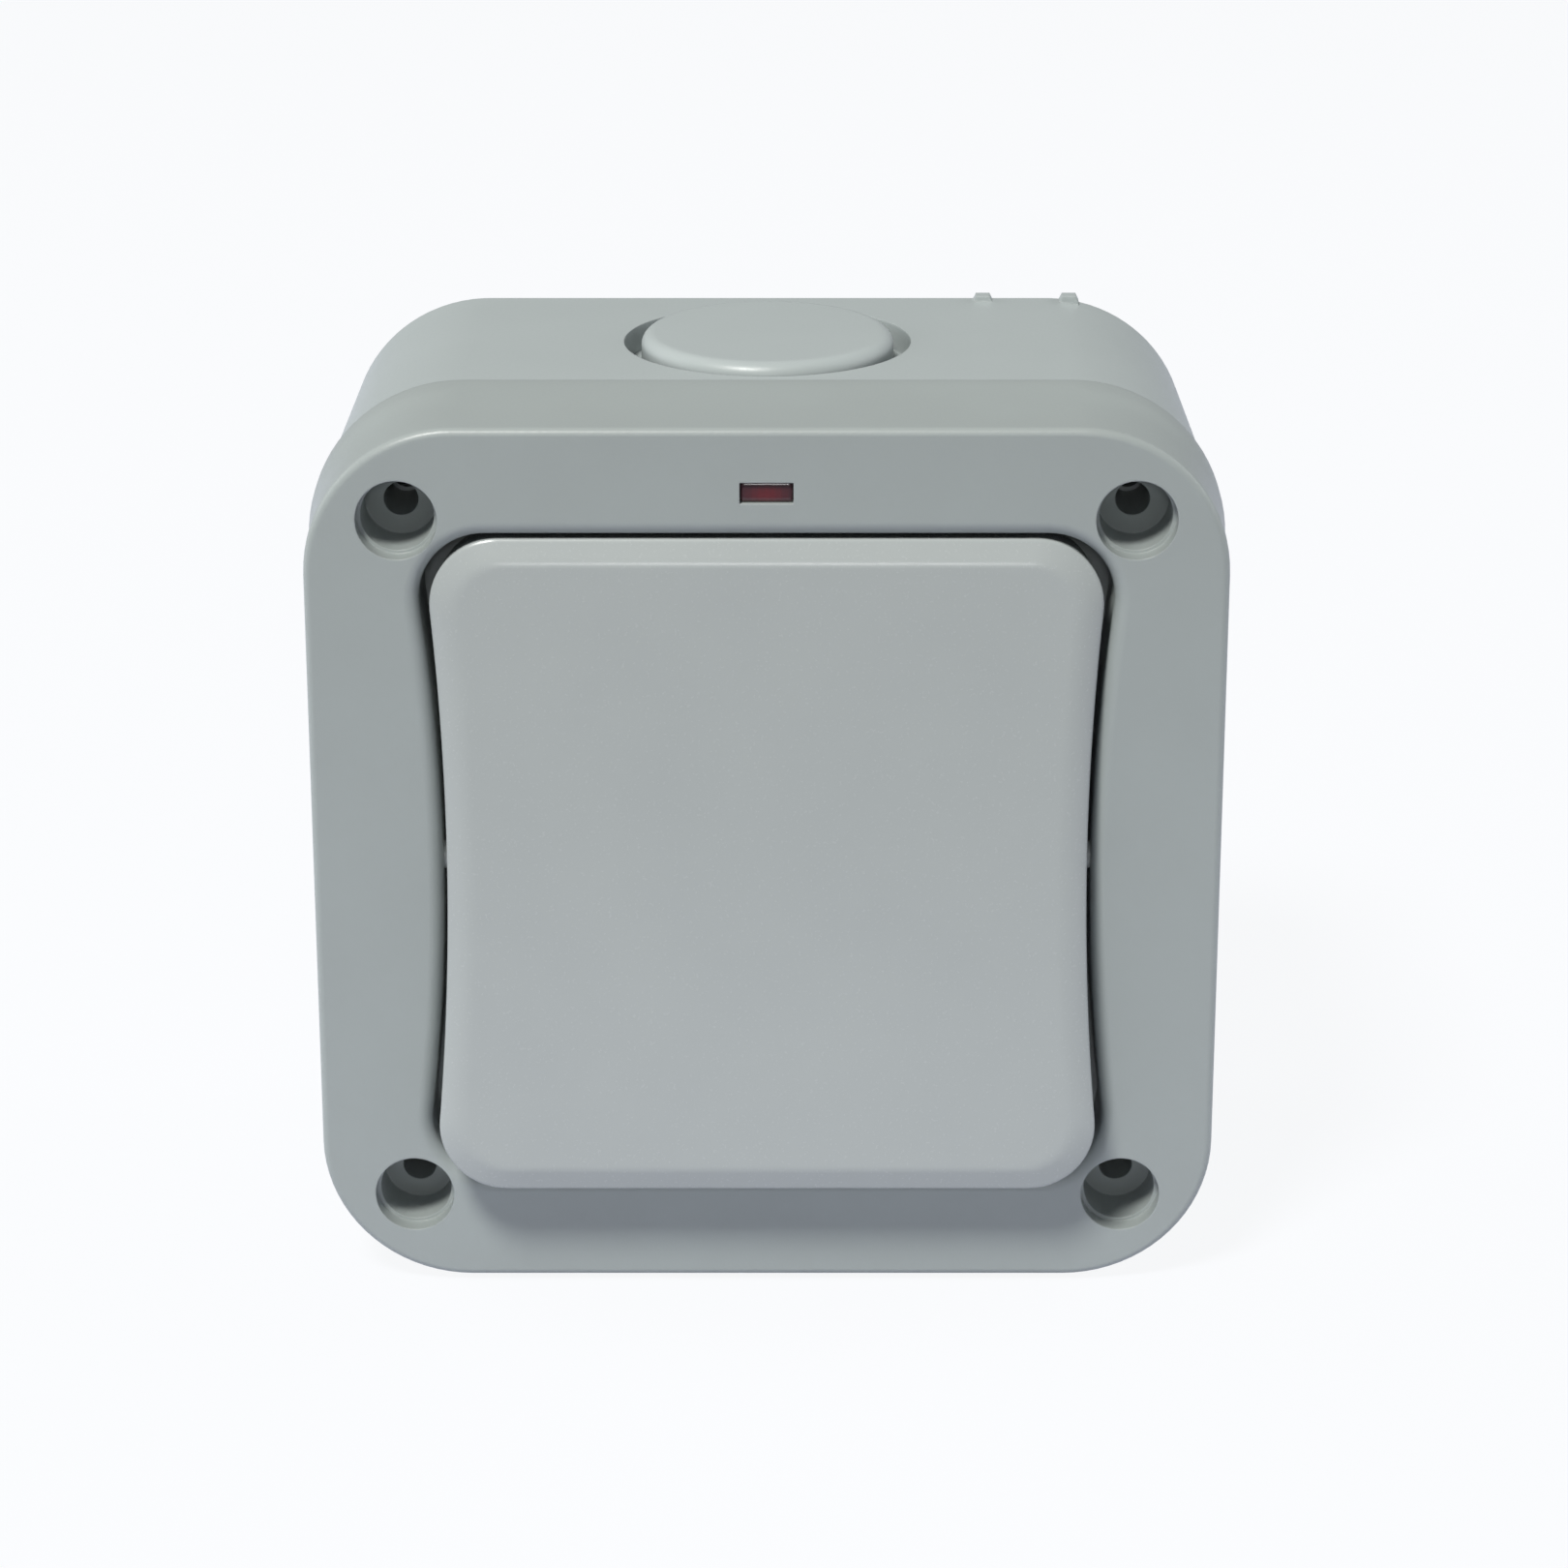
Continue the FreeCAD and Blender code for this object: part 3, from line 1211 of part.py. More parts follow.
def make_screws(label, places, radius, head_radius, head_height, length, under_head):
    """Round-head slotted screws with their heads towards the wall, one for each place."""
    screws = Piece(label, several=True)
    shanks = screws.front_sketch(under_head)
    for x, z in places:
        draw_circle(shanks, radius, x, z)
    screws.pad(shanks, length, FRONT)
    heads = screws.front_sketch(under_head)
    for x, z in places:
        draw_circle(heads, head_radius, x, z)
    screws.pad(heads, head_height)
    back = f"{under_head} + {head_height}"
    screws.round_edges(f"({head_height}) * 0.3", at_depth(screws, back))
    slots = screws.front_sketch(back)
    for x, z in places:
        draw_rectangle(slots, f"{head_radius} + 0.1", "Size.screw_slot_width / 2", x, z)
    screws.pocket(slots, "Size.screw_slot_deep", FRONT)
    return screws


def make_dolly():
    """The inner lever: a beam on two axle stubs, a fork in front and two guides behind."""
    dolly = Piece("dolly", "0")
    beam = dolly.side_sketch("0")
    draw_circle(beam, "Size.dolly_beam")
    dolly.pad(beam, "2 * Size.dolly_half_length", BOTH)
    jaw = "(Size.post_tip_radius + Size.running_gap)"
    fork = dolly.side_sketch("0")
    draw_rectangle(
        fork,
        "Size.fork_reach / 2",
        f"{jaw} + Size.fork_wall",
        "-Size.fork_reach / 2",
        "0",
    )
    dolly.pad(fork, "2 * Size.fork_half_width", BOTH)
    slot = dolly.side_sketch("0")
    draw_rectangle(
        slot,
        "Size.post_tip_radius + 0.5",
        jaw,
        "-Size.dolly_arm - 0.5",
        "0",
    )
    dolly.pocket(slot, "2 * Size.fork_half_width", BOTH)
    guides = dolly.front_sketch("Size.guide_bottom - 2")
    for side in ("", "-"):
        draw_circle(
            guides,
            "Size.plunger_radius + Size.guide_wall",
            f"{side}Size.pole_half",
            "0",
        )
    dolly.pad(guides, "Size.guide_end - Size.guide_bottom + 2")
    bores = dolly.front_sketch("Size.guide_bottom")
    for side in ("", "-"):
        draw_circle(
            bores, "Size.plunger_radius + Size.running_gap", f"{side}Size.pole_half", "0"
        )
    dolly.pocket(bores, "Size.guide_end - Size.guide_bottom")
    stubs = dolly.side_sketch("0")
    draw_circle(stubs, "Size.axle_radius")
    for way, start in ((RIGHT, ""), (LEFT, "-")):
        stubs = dolly.side_sketch(f"{start}(Size.dolly_half_length - 1)")
        draw_circle(stubs, "Size.axle_radius")
        dolly.pad(stubs, "Size.axle_length + 1", way)
    dolly.place(deep=DOLLY_DEEP, turn=DOLLY_TILT)
    return dolly


def coil_of_wire(radius, wire, turns, low, high):
    """A coil spring along Z, its wire drawn in short straight runs with flat sides."""
    runs = round(12 * turns)
    points = []
    for number in range(runs + 1):
        angle = math.radians(30 * number)
        height = low + (high - low) * number / runs
        points.append(Vector(radius * math.cos(angle), radius * math.sin(angle), height))
    along = (points[1] - points[0]).normalize()
    outward = Vector(1, 0, 0) - along * along.x
    outward.normalize()
    beside = along.cross(outward)
    section = []
    for number in range(7):
        angle = math.radians(60 * number)
        section.append(
            points[0] + (outward * math.cos(angle) + beside * math.sin(angle)) * wire
        )
    path = Part.makePolygon(points)
    return path.makePipeShell([Part.makePolygon(section)], True, False, 1)


def make_plunger(label, side):
    """A plunger with a round nose, bored for its spring, and the coiled spring."""
    across = f"{side}Size.pole_half"
    plunger = Piece(f"plunger_{label}", "0")
    start = "(Size.plunger_reach - Size.plunger_length)"
    rod = plunger.front_sketch(start)
    draw_circle(rod, "Size.plunger_radius")
    plunger.pad(rod, "Size.plunger_length")
    nose = value("Size.plunger_reach")
    plunger.round_edges(
        "Size.plunger_radius * 0.95", lambda edge: abs(edge.BoundBox.YMin - nose) < 1e-4
    )
    bore = plunger.front_sketch(start)
    spring_room = "Size.spring_radius + Size.spring_wire + Size.running_gap"
    draw_circle(bore, spring_room)
    plunger.pocket(bore, "Size.plunger_length - Size.plunger_radius - 0.4")
    plunger.place(across=across, deep=DOLLY_DEEP, turn=DOLLY_TILT)

    # The spring reaches from the guide's floor to the bottom of the plunger's bore.
    low = "(Size.guide_bottom + Size.spring_wire + Size.running_gap)"
    bore_end = "(Size.plunger_reach - Size.plunger_radius - 0.4)"
    high = f"({bore_end} - Size.spring_wire - Size.running_gap)"
    spring = doc.addObject("Part::Feature", f"plunger_spring_{label}")
    spring.Label = f"plunger_spring_{label}"
    spring.Shape = coil_of_wire(
        value("Size.spring_radius"),
        value("Size.spring_wire"),
        value("Size.spring_turns"),
        value(low),
        value(high),
    )
    spring.Placement = Placement(Vector(), Rotation(Vector(1, 0, 0), -90))
    bind(spring, "Placement.Base.x", across)
    bind(spring, "Placement.Base.y", f"{DOLLY_DEEP} - Size.total_depth")
    bind(spring, "Placement.Rotation.Angle", f"270 + {DOLLY_TILT}")
    return plunger, spring


def make_moving_contact(label, side):
    """The see-saw copper strip with its side lugs, and its silver tip."""
    across = f"{side}Size.pole_half"
    contact = Piece(f"moving_contact_{label}", "0")
    top = "-(Size.contact_thickness + Size.running_gap)"
    strip = contact.front_sketch(top)
    draw_rounded(strip, "Size.contact_half_width", "Size.contact_half_length", "1")
    contact.pad(strip, "Size.contact_thickness")
    lugs = contact.front_sketch(top)
    for hand in ("", "-"):
        draw_rectangle(
            lugs,
            "Size.lug_thickness / 2",
            "Size.lug_length * 0.75",
            f"{hand}(Size.contact_half_width + Size.lug_thickness / 2)",
            "0",
        )
    contact.pad(lugs, "Size.contact_thickness + Size.lug_length")
    contact.place(across=across, deep=CONTACT_PIVOT, turn="-Size.contact_tilt")

    tip = Piece(f"moving_tip_{label}", "0")
    disc = tip.front_sketch("-Size.running_gap")
    draw_circle(disc, "Size.tip_radius", "0", "-Size.tip_from_pivot")
    tip.pad(disc, "Size.tip_thickness")
    far = value("Size.tip_thickness - Size.running_gap")
    tip.round_edges(
        "Size.tip_thickness * 0.3", lambda edge: abs(edge.BoundBox.YMin - far) < 1e-4
    )
    tip.place(across=across, deep=CONTACT_PIVOT, turn="-Size.contact_tilt")
    return contact, tip


def bore_terminal(piece, wire_height, far_side):
    """Bores a terminal block for its wire and for its screw."""
    sign = "" if far_side == UP else "-"
    bore = piece.plan_sketch(f"{sign}Size.terminal_inner")
    draw_circle(bore, "Size.terminal_bore", "0", piece.y_of(WIRE_DEEP))
    piece.pocket(bore, "Size.terminal_outer - Size.terminal_inner", far_side)
    screw = piece.front_sketch(HOUSING_FLOOR)
    draw_circle(
        screw, "Size.terminal_screw_radius + Size.running_gap", "0", wire_height
    )
    piece.pocket(screw, "Size.terminal_height / 2", FRONT)


def make_terminals(label, side):
    """The pivot terminal, the fixed-contact terminal and the fixed silver tip."""
    across = f"{side}Size.pole_half"
    inner, outer = "Size.terminal_inner", "Size.terminal_outer"
    pivot = Piece(f"pivot_terminal_{label}")
    block = pivot.side_sketch("0")
    middle = f"({inner} + {outer}) / 2"
    y_block = f"({pivot.y_of(BLOCK_FRONT)} + {pivot.y_of(HOUSING_FLOOR)}) / 2"
    draw_rectangle(block, "Size.terminal_height / 2", f"({outer} - {inner}) / 2", y_block, middle)
    pivot.pad(block, "2 * Size.terminal_half_width", BOTH)
    strip_front = f"{HOUSING_FLOOR} - Size.strip_thickness"
    stop_front = f"{CONTACT_PIVOT} + {TIP_DROP} + 2 * Size.running_gap"
    profile = pivot.side_sketch("0")
    y = pivot.y_of
    stop = "Size.tip_from_pivot"
    draw_polygon(
        profile,
        [
            (y(HOUSING_FLOOR), f"{inner} + 1"),
            (y(strip_front), f"{inner} + 1"),
            (y(strip_front), f"{stop} + Size.knife_half"),
            (y(stop_front), f"{stop} + Size.knife_half"),
            (y(stop_front), f"{stop} - Size.knife_half"),
            (y(strip_front), f"{stop} - Size.knife_half"),
            (y(strip_front), "Size.knife_half"),
            (y(f"{CONTACT_PIVOT} + Size.lug_length"), "Size.knife_half"),
            (y(CONTACT_PIVOT), "Size.knife_edge"),
            (y(CONTACT_PIVOT), "-Size.knife_edge"),
            (y(f"{CONTACT_PIVOT} + Size.lug_length"), "-Size.knife_half"),
            (y(HOUSING_FLOOR), "-Size.knife_half"),
        ],
    )
    pivot.pad(profile, "2 * (Size.contact_half_width - 2 * Size.running_gap)", BOTH)
    bore_terminal(pivot, middle, UP)
    pivot.place(across=across)
    pivot.body.setExpression("Placement.Base.y", None)

    fixed = Piece(f"fixed_terminal_{label}")
    block = fixed.side_sketch("0")
    draw_rectangle(
        block, "Size.terminal_height / 2", f"({outer} - {inner}) / 2", y_block, f"-{middle}"
    )
    fixed.pad(block, "2 * Size.terminal_half_width", BOTH)
    arm = fixed.side_sketch("0")
    reach = "(Size.tip_from_pivot - Size.tip_radius - 0.4)"
    draw_polygon(
        arm,
        [
            (y(FIXED_STRIP_FRONT), f"-{inner} - 1"),
            (y(FIXED_STRIP_BACK), f"-{inner} - 1"),
            (y(FIXED_STRIP_BACK), f"-{reach}"),
            (y(FIXED_STRIP_FRONT), f"-{reach}"),
        ],
    )
    fixed.pad(arm, "2 * Size.contact_half_width", BOTH)
    bore_terminal(fixed, f"-{middle}", DOWN)
    fixed.place(across=across)
    fixed.body.setExpression("Placement.Base.y", None)

    tip = Piece(f"fixed_tip_{label}")
    disc = tip.front_sketch(FIXED_TIP_FRONT)
    draw_circle(disc, "Size.tip_radius", "0", "-Size.tip_from_pivot")
    tip.pad(disc, "Size.fixed_tip_thickness")
    tip.place(across=across)
    tip.body.setExpression("Placement.Base.y", None)
    return pivot, fixed, tip


def make_earth_terminal():
    """The brass earth terminal on the floor of the box, and its screw."""
    block = Piece("earth_terminal")
    front = f"{BOX_FLOOR} - Size.earth_height"
    outline = block.front_sketch(front)
    drop = "-Size.earth_drop"
    draw_rectangle(outline, "Size.earth_half_width", "Size.earth_half_height", "0", drop)
    block.pad(outline, "Size.earth_height")
    bore = block.plan_sketch("0")
    draw_circle(bore, "Size.terminal_bore", "0", block.y_of(f"{BOX_FLOOR} - Size.earth_height / 2"))
    block.pocket(bore, "Size.earth_drop + Size.earth_half_height", DOWN)
    hole = block.front_sketch(front)
    draw_circle(hole, "Size.terminal_screw_radius + Size.running_gap", "0", drop)
    block.pocket(hole, "Size.earth_height / 2")

    screw = Piece("earth_screw")
    shank = screw.front_sketch(front)
    draw_circle(shank, "Size.terminal_screw_radius", "0", drop)
    screw.pad(shank, "Size.terminal_screw_length")
    head = screw.front_sketch(front)
    draw_circle(head, "Size.terminal_head_radius", "0", drop)
    screw.pad(head, "Size.small_head_height", FRONT)
    top = f"{front} - Size.small_head_height"
    screw.round_edges("Size.small_head_height * 0.3", at_depth(screw, top))
    slot = screw.front_sketch(top)
    draw_rectangle(
        slot, "Size.terminal_head_radius + 0.1", "Size.screw_slot_width / 2", "0", drop
    )
    screw.pocket(slot, "Size.screw_slot_deep")
    return block, screw


def make_all():
    """Builds every sub-part and returns their document objects."""
    pieces = [make_back_box(), make_gasket(), make_front_cover(), make_rocker()]
    pieces.append(make_rocker_seal())
    pieces.extend(make_indicator())
    for label, side in (("top", 1), ("bottom", -1)):
        pieces.extend(make_entry(label, side))
    pieces.append(make_mechanism_lid())
    pieces.append(make_switch_housing())
    pieces.append(
        make_screws(
            "mechanism_screws",
            four_corners("Size.ear_screw_across", "Size.ear_height"),
            "Size.small_screw_radius",
            "Size.small_head_radius",
            "Size.small_head_height",
            "Size.small_screw_length",
            EAR_BACK,
        )
    )
    pieces.append(make_dolly())
    for label, side in (("left", "-"), ("right", "")):
        pieces.extend(make_plunger(label, side))
        pieces.extend(make_moving_contact(label, side))
        pieces.extend(make_terminals(label, side))
    pieces.append(
        make_screws(
            "terminal_screws",
            four_corners("Size.pole_half", TERMINAL_MIDDLE),
            "Size.terminal_screw_radius",
            "Size.terminal_head_radius",
            "Size.housing_wall",
            "Size.terminal_screw_length",
            HOUSING_FLOOR,
        )
    )
    pieces.extend(make_earth_terminal())
    pieces.extend(make_lamp_wiring())
    return [piece.body if isinstance(piece, Piece) else piece for piece in pieces]


def check_and_write(parts):
    """Stops at anything that failed, then writes each sub-part to its own file."""
    doc.recompute()
    for thing in doc.Objects:
        if "Invalid" in thing.State or "Error" in thing.State:
            raise RuntimeError(f"{thing.Name} failed: {thing.State}")
    for part in parts:
        if part.Shape.isNull() or not part.Shape.isValid() or not part.Shape.Solids:
            raise RuntimeError(f"{part.Label} has no valid solid")
    os.makedirs("parts", exist_ok=True)
    for part in parts:
        part.Shape.exportStep(f"parts/{part.Label}.step")
        print(f"{part.Label}: {len(part.Shape.Solids)} solid, {part.Shape.Volume:.1f} mm3")


check_and_write(make_all())
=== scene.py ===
"""Looks of the outdoor weatherproof switch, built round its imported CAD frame.

Lengths inside the classes are in millimetres, as a moulder's drawing has them.  The
origin is the middle of the back face, X is to the right, Y goes into the wall and Z is
up.  Depths named "deep" are measured from the cover's face towards the wall.
"""

import json
import logging
import math
from dataclasses import dataclass
from enum import Enum
from typing import Callable, Optional, Sequence

import bmesh
import bpy
from mathutils import Matrix, Vector


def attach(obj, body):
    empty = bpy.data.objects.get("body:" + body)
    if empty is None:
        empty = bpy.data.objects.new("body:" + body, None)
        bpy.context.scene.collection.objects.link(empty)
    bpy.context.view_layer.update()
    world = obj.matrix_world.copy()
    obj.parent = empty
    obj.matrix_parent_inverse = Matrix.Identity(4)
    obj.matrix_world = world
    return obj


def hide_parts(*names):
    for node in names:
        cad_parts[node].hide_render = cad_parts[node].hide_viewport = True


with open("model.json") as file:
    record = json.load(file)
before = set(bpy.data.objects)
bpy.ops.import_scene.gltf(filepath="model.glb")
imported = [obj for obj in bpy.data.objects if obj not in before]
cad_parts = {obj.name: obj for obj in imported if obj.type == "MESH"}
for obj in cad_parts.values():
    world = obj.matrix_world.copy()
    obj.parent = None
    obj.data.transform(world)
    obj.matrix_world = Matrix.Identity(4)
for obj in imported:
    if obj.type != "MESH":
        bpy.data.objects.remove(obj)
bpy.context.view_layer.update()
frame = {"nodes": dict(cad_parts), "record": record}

LOG = logging.getLogger("weatherproof_switch")
MM = 0.001
TOTAL_DEPTH = 55.3
# How far each of the two poles lies from the middle.
POLE = 10.0
# Points of one shape that lie closer than this become one point.
WELD = 0.0005
Socket = bpy.types.NodeSocket
Tree = bpy.types.NodeTree


class Slot(Enum):
    """The record's material slots."""

    HOUSING = "housing"
    ROCKER = "rocker"
    SEAL = "seal"
    LENS = "lens"
    LAMP_GLASS = "lamp_glass"
    MECHANISM = "mechanism"
    DOLLY = "dolly"
    SPRING_STEEL = "spring_steel"
    PLATED_STEEL = "plated_steel"
    BRASS = "brass"
    COPPER = "copper"
    SILVER = "silver"
    LEAD_SLEEVE = "lead_sleeve"
    RESISTOR = "resistor"


Finishes = dict[Slot, bpy.types.Material]
Profile = tuple[tuple[float, float], ...]


class Body(Enum):
    """The bodies that pieces ride on."""

    ENCLOSURE = "enclosure"
    ROCKER = "rocker_body"
    DOLLY = "dolly_body"


def linear(hex_colour: str) -> tuple[float, float, float, float]:
    """Turns an sRGB hex colour into the linear values that a shader takes.

    Args:
        hex_colour: Six hex digits, such as "9BA4A3".

    Returns:
        Red, green, blue and an alpha of 1.
    """
    parts = [int(hex_colour[i : i + 2], 16) / 255 for i in (0, 2, 4)]
    rgb = [c / 12.92 if c <= 0.04045 else ((c + 0.055) / 1.055) ** 2.4 for c in parts]
    return (*rgb, 1.0)


def add_node(
    tree: Tree,
    kind: str,
    settings: Optional[dict[str, object]] = None,
    inputs: Optional[dict[object, object]] = None,
) -> bpy.types.Node:
    """Adds a node, sets its properties, and fills or links its inputs.

    Args:
        tree: The node tree that gets the node.
        kind: The node's type, such as "ShaderNodeBump".
        settings: Properties of the node.
        inputs: Input name or number to a plain value or to another node's output.

    Returns:
        The new node.
    """
    node = tree.nodes.new(kind)
    for name, setting in (settings or {}).items():
        setattr(node, name, setting)
    for name, given in (inputs or {}).items():
        if isinstance(given, Socket):
            tree.links.new(given, node.inputs[name])
        else:
            node.inputs[name].default_value = given
    return node


def empty_tree(owner: bpy.types.ID) -> Tree:
    """Gives a material or a world an empty node tree.

    Args:
        owner: The material or world.

    Returns:
        Its tree.
    """
    owner.use_nodes = True
    owner.node_tree.nodes.clear()
    return owner.node_tree


def new_material(name: str) -> tuple[bpy.types.Material, Tree, Socket]:
    """Makes an empty node material.

    Args:
        name: The material's name.

    Returns:
        The material, its node tree and the point on the object, in metres.
    """
    material = bpy.data.materials.new(name)
    tree = empty_tree(material)
    return material, tree, add_node(tree, "ShaderNodeTexCoord").outputs["Object"]


def sum_of(tree: Tree, operation: str, *given: object) -> Socket:
    """Adds one sum."""
    inputs = dict(enumerate(given))
    return add_node(tree, "ShaderNodeMath", {"operation": operation}, inputs).outputs[0]


def two_tones(tree: Tree, share: Socket, first: object, second: str) -> Socket:
    """Mixes two colours by a share that changes over the surface.

    Args:
        tree: The material's tree.
        share: From 0, all first, to 1, all second.
        first: sRGB hex colour, or a colour as a node's output.
        second: sRGB hex colour.

    Returns:
        The mixed colour.
    """
    start = first if isinstance(first, Socket) else linear(first)
    inputs = {0: share, 6: start, 7: linear(second)}
    return add_node(tree, "ShaderNodeMix", {"data_type": "RGBA"}, inputs).outputs[2]


def noise(
    tree: Tree, place: Socket, grain: float, detail: float = 3.0, crispness: float = 0.5
) -> Socket:
    """Adds a noise with grains of a given size."""
    inputs = {"Vector": place, "Scale": 1 / grain, "Detail": detail, "Roughness": crispness}
    return add_node(tree, "ShaderNodeTexNoise", inputs=inputs).outputs["Fac"]


def along(tree: Tree, place: Socket, streak: tuple[float, float, float]) -> Socket:
    """Measures a point in streak lengths, so that a noise is drawn out along one axis."""
    scale = tuple(1 / (length * MM) for length in streak)
    return add_node(tree, "ShaderNodeMapping", inputs={"Vector": place, "Scale": scale}).outputs[0]


def sheen(tree: Tree, share: Socket, low: float, high: float) -> Socket:
    """Spreads a share from 0 to 1 over a range of roughness."""
    inputs = {"Value": share, "To Min": low, "To Max": high}
    return add_node(tree, "ShaderNodeMapRange", inputs=inputs).outputs["Result"]


def relief(
    tree: Tree, height: Socket, depth: float, strength: float = 1.0, **more: Socket
) -> Socket:
    """Turns a height into a fine relief of the surface."""
    inputs = {"Height": height, "Distance": depth * MM, "Strength": strength, **more}
    return add_node(tree, "ShaderNodeBump", inputs=inputs).outputs["Normal"]


def dress(material: bpy.types.Material, inputs: dict[str, object]) -> bpy.types.Material:
    """Ends a material with its skin.

    Args:
        material: The material.
        inputs: The skin's inputs.

    Returns:
        The same material.
    """
    tree = material.node_tree
    skin = add_node(tree, "ShaderNodeBsdfPrincipled", inputs=inputs)
    add_node(tree, "ShaderNodeOutputMaterial", inputs={"Surface": skin.outputs["BSDF"]})
    return material


@dataclass(frozen=True)
class MouldedPlastic:
    """A thermoplastic moulding with the fine pitted skin of a spark-eroded tool.

    The pits break the highlight into a soft sheen, and the resin's colour drifts a
    little over the part, with a faint cloud where dust and handling have dulled it.
    """

    name: str
    colour: str
    drift_colour: str
    grain: float = 0.35
    pit_detail: float = 2.0
    pit_crispness: float = 0.6
    depth: float = 0.012
    roughness: float = 0.36
    ior: float = 1.5
    edge_radius: float = 0.25
    edge_samples: int = 6
    cloud: float = 14.0
    shinier: float = 0.05
    duller: float = 0.08

    def build(self) -> bpy.types.Material:
        """Builds the material.

        Returns:
            The material.
        """
        material, tree, place = new_material(self.name)
        drift = noise(tree, place, self.cloud * MM)
        pits = noise(tree, place, self.grain * MM, self.pit_detail, self.pit_crispness)
        # Small edges are rounded in the shading, as a worn tool leaves them.
        samples, radius = {"samples": self.edge_samples}, {"Radius": self.edge_radius * MM}
        eased = add_node(tree, "ShaderNodeBevel", samples, radius).outputs["Normal"]
        low, high = self.roughness - self.shinier, self.roughness + self.duller
        skin = {
            "Base Color": two_tones(tree, drift, self.colour, self.drift_colour),
            "Roughness": sheen(tree, pits, low, high),
            "Normal": relief(tree, pits, self.depth, Normal=eased),
            "IOR": self.ior,
        }
        return dress(material, skin)


@dataclass(frozen=True)
class WorkedMetal:
    """A metal whose surface shows how it was made: drawn, pressed or plated.

    Fine streaks along one direction vary the roughness, and a slow drift in tone
    stands for the dull bloom that handled metal gets.
    """

    name: str
    colour: str
    bloom_colour: str
    roughness: float = 0.3
    streak: tuple[float, float, float] = (0.2, 2.0, 2.0)
    streak_depth: float = 0.01
    bloom: float = 3.0
    bloom_detail: float = 4.0
    shinier: float = 0.08
    duller: float = 0.12

    def build(self) -> bpy.types.Material:
        """Builds the material.

        Returns:
            The material.
        """
        material, tree, place = new_material(self.name)
        streaks = noise(tree, along(tree, place, self.streak), 1.0)
        bloom = noise(tree, place, self.bloom * MM, self.bloom_detail)
        low, high = self.roughness - self.shinier, self.roughness + self.duller
        skin = {
            "Base Color": two_tones(tree, bloom, self.colour, self.bloom_colour),
            "Metallic": 1.0,
            "Roughness": sheen(tree, streaks, low, high),
            "Normal": relief(tree, streaks, self.streak_depth),
        }
        return dress(material, skin)


@dataclass(frozen=True)
class TintedLens:
    """Dyed clear polycarbonate, polished in front and ribbed behind.

    A painted glow, a brighter patch in the middle of the window, stands for light gathered by the
    ribs behind, and fades to a deep red at its rim.
    """

    name: str
    rim_colour: str
    painted_glow_colour: str
    middle: tuple[float, float, float]
    reach: tuple[float, float, float]
    rib: float = 2.2
    rib_waver: float = 0.4
    rib_detail: float = 1.0
    rib_depth: float = 0.01
    rib_strength: float = 0.6
    rib_share: float = 0.12
    painted_glow_end: float = 0.15
    painted_glow_fade_end: float = 1.0
    roughness: float = 0.3
    ior: float = 1.58
    polish: float = 0.3
    polish_roughness: float = 0.1

    def build(self) -> bpy.types.Material:
        """Builds the material.

        Returns:
            The material.
        """
        material, tree, place = new_material(self.name)
        away = place
        for operation, sizes in (("SUBTRACT", self.middle), ("DIVIDE", self.reach)):
            inputs = {0: away, 1: tuple(size * MM for size in sizes)}
            step = add_node(tree, "ShaderNodeVectorMath", {"operation": operation}, inputs)
            away = step.outputs[0]
        length = add_node(tree, "ShaderNodeVectorMath", {"operation": "LENGTH"}, {0: away})
        wave = {
            "Vector": place,
            "Scale": 1 / (self.rib * MM),
            "Distortion": self.rib_waver,
            "Detail": self.rib_detail,
        }
        bands = {"wave_type": "BANDS", "bands_direction": "X"}
        ribs = add_node(tree, "ShaderNodeTexWave", bands, wave).outputs["Fac"]
        broken = sum_of(tree, "MULTIPLY_ADD", ribs, self.rib_share, length.outputs["Value"])
        # Painted glow: the colour is brightest in the window's middle and fades to the rim.
        fade = add_node(
            tree,
            "ShaderNodeMapRange",
            {"interpolation_type": "SMOOTHSTEP"},
            {"Value": broken, "From Min": self.painted_glow_end, "From Max": self.painted_glow_fade_end},
        )
        painted_glow_fade = fade.outputs["Result"]
        skin = {
            "Base Color": two_tones(tree, painted_glow_fade, self.painted_glow_colour, self.rim_colour),
            "Roughness": self.roughness,
            "Normal": relief(tree, ribs, self.rib_depth, self.rib_strength),
            "IOR": self.ior,
            "Coat Weight": self.polish,
            "Coat Roughness": self.polish_roughness,
        }
        return dress(material, skin)


@dataclass(frozen=True)
class DrawnGlass:
    """Thin drawn soda glass: clear, with faint draw lines along the tube."""

    name: str
    colour: str
    line: tuple[float, float, float] = (8.0, 0.4, 0.4)
    line_detail: float = 2.0
    line_depth: float = 0.01
    line_strength: float = 0.5
    shiniest: float = 0.02
    dullest: float = 0.08
    ior: float = 1.51
    clearness: float = 0.92

    def build(self) -> bpy.types.Material:
        """Builds the material.

        Returns:
            The material.
        """
        material, tree, place = new_material(self.name)
        lines = noise(tree, along(tree, place, self.line), 1.0, self.line_detail)
        skin = {
            "Base Color": linear(self.colour),
            "Roughness": sheen(tree, lines, self.shiniest, self.dullest),
            "Normal": relief(tree, lines, self.line_depth, self.line_strength),
            "IOR": self.ior,
            "Transmission Weight": self.clearness,
        }
        return dress(material, skin)


